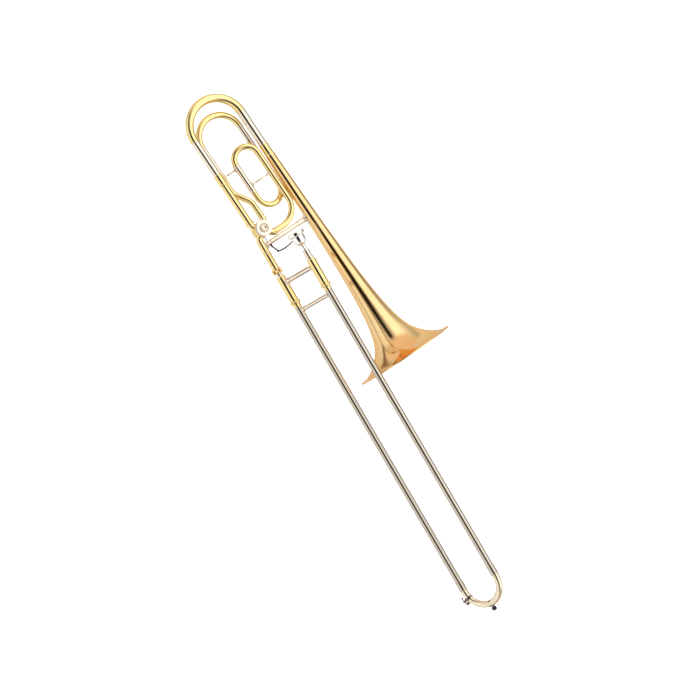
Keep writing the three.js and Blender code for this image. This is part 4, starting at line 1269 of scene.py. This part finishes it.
def sky_ramp(n, turn, stops):
    """Turns an angle about X, as 0 to 1, into brightness. Only the dark strip has a tint."""
    ramp = n.add("ShaderNodeValToRGB", {"Fac": turn})
    colours = ramp.color_ramp
    colours.interpolation = "EASE"
    first, last = colours.elements
    first.position, last.position = 0, 1
    last.color = (0.9, 0.9, 0.9, 1)
    for angle, light in stops:
        spot = angle / 360 + 0.5
        element = first if spot == 0 else colours.elements.new(spot)
        tint = (1, 0.6, 0.2) if light == DARK else (1, 1, 1)
        element.color = (*(light * part for part in tint), 1)
    return ramp.outputs["Color"]


def world():
    """A white studio with a dark front, where the camera stands, and dark ends: metal shows both."""
    scene_world = bpy.data.worlds.new("studio")
    bpy.context.scene.world = scene_world
    scene_world.use_nodes = True
    n = Nodes(scene_world.node_tree)
    way = n.add("ShaderNodeTexCoord").outputs["Generated"]
    parts = n.add("ShaderNodeSeparateXYZ", {0: way}).outputs
    front = n.math("MULTIPLY", parts["Y"], -1.0)
    angle = n.math("ARCTAN2", parts["Z"], front)
    turn = n.spread(angle, -pi, pi, 0.0, 1.0)
    on_tubes = sky_ramp(n, turn, BELOW_STRIP + TUBE_STRIP + ABOVE_STRIP + TUBE_EDGE)
    on_flare = sky_ramp(n, turn, BELOW_STRIP + FLARE_STRIP + ABOVE_STRIP + FLARE_EDGE)
    end_on = n.math("ABSOLUTE", parts["X"])
    flaring = n.spread(end_on, 0.12, 0.50, 0.0, 1.0)
    around_x = n.mixed(flaring, on_tubes, on_flare)
    far_end = n.spread(end_on, 0.73, 0.94, 0.0, 1.0, smooth=True)
    beside = n.spread(end_on, 0.52, 0.70, 0.0, 1.0, smooth=True)
    under = n.spread(parts["Z"], -0.53, -0.58, 0.0, 1.0, smooth=True)
    deep = n.spread(parts["Z"], -0.70, -0.63, 0.0, 1.0, smooth=True)
    below = n.math("MULTIPLY", beside, n.math("MULTIPLY", under, deep))
    front_end = n.spread(parts["X"], -0.3, 0.3, 0.0, 1.0)
    ends = n.mixed(front_end, (0.98, 0.76, 0.62, 1), (0.62, 0.50, 0.40, 1))
    light = n.mixed(far_end, around_x, ends)
    light = n.mixed(below, light, (0.26, 0.19, 0.13, 1))
    seen = n.add("ShaderNodeLightPath").outputs["Is Camera Ray"]
    shown = n.mixed(seen, light, (1.0, 1.0, 1.0, 1))
    back = n.add("ShaderNodeBackground", {"Color": shown, "Strength": 1.0})
    n.add("ShaderNodeOutputWorld", {"Surface": back.outputs[0]})


FLOOR_DROP = 0.22


def floor():
    """A plain pale floor, bright enough to read as white."""
    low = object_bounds()[0][2] - FLOOR_DROP
    bpy.ops.mesh.primitive_plane_add(size=30, location=(0.3, 0, low))
    sheet = bpy.context.object
    sheet.name = "floor"
    material, n = new_material("pale_floor")
    grain = n.noise(n.place(), 6.0, 2.0, 0.5)
    colour = n.mixed(grain, (0.80, 0.80, 0.80, 1), (0.84, 0.84, 0.84, 1))
    n.surface({
        "Base Color": colour,
        "Roughness": 1.0,
        "Specular IOR Level": 0.0,
        "Emission Color": (1, 1, 1, 1),
        "Emission Strength": 0.85,
    })
    sheet.data.materials.append(material)
    sheet.visible_glossy = False
    sheet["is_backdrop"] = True


def lamp(name, location, target, size, power):
    data = bpy.data.lights.new(name, "AREA")
    data.shape = "DISK"
    data.size = size
    data.energy = power
    lamp_object = bpy.data.objects.new(name, data)
    lamp_object.location = location
    way = Vector(target) - Vector(location)
    lamp_object.rotation_euler = way.to_track_quat("-Z", "Y").to_euler()
    lamp_object.visible_glossy = False
    bpy.context.scene.collection.objects.link(lamp_object)


def camera():
    """A long lens above the slide's plane, rolled so that the slide runs down to the right."""
    azimuth, elevation, roll = radians(-1.05), radians(37.17), radians(60.33)
    distance, width = 10.0, 1.4
    side = Vector((cos(azimuth), sin(azimuth), 0))
    back = Vector((sin(azimuth) * cos(elevation), -cos(azimuth) * cos(elevation), sin(elevation)))
    rise = back.cross(side)
    target = Vector((0.1818, 0, 0)) + rise * 0.0113
    right = side * cos(roll) + rise * sin(roll)
    up = rise * cos(roll) - side * sin(roll)
    data = bpy.data.cameras.new("camera")
    data.sensor_width = 36
    data.lens = data.sensor_width * distance / width
    data.clip_end = 100
    view = bpy.data.objects.new("camera", data)
    view.matrix_world = columns(right, up, back, target + back * distance)
    bpy.context.scene.collection.objects.link(view)
    bpy.context.scene.camera = view


# ---- the whole instrument ----

inner_slide_tubes()
cork_barrels()
barrel_rings()
slide_braces()
receiver_and_tenon()
mouthpiece()
lock_nut()
outer_slide_tubes()
slide_bow()
bumper()
water_key()
bell()
tuning_slide()
neckpipe()
receiver_and_gooseneck()
valve_casing()
valve_covers()
stops_and_link()
bell_brace()
f_tubing()
f_slide()
f_braces()
lever_bracket()
thumb_lever()
hidden_nodes()

world()
floor()
lamp("key_light", (-0.6, -1.2, 2.2), (0.2, 0.1, 0), 1.6, 30)
lamp("fill_light", (1.6, 0.8, 2.0), (0.2, 0.1, 0), 1.8, 12)
camera()
bpy.context.scene.view_settings.view_transform = "Standard"

visual_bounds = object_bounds()
boxes = {"cad": cad_bounds, "visual": visual_bounds}
{name: [[float(v) for v in corner] for corner in box] for name, box in boxes.items()}
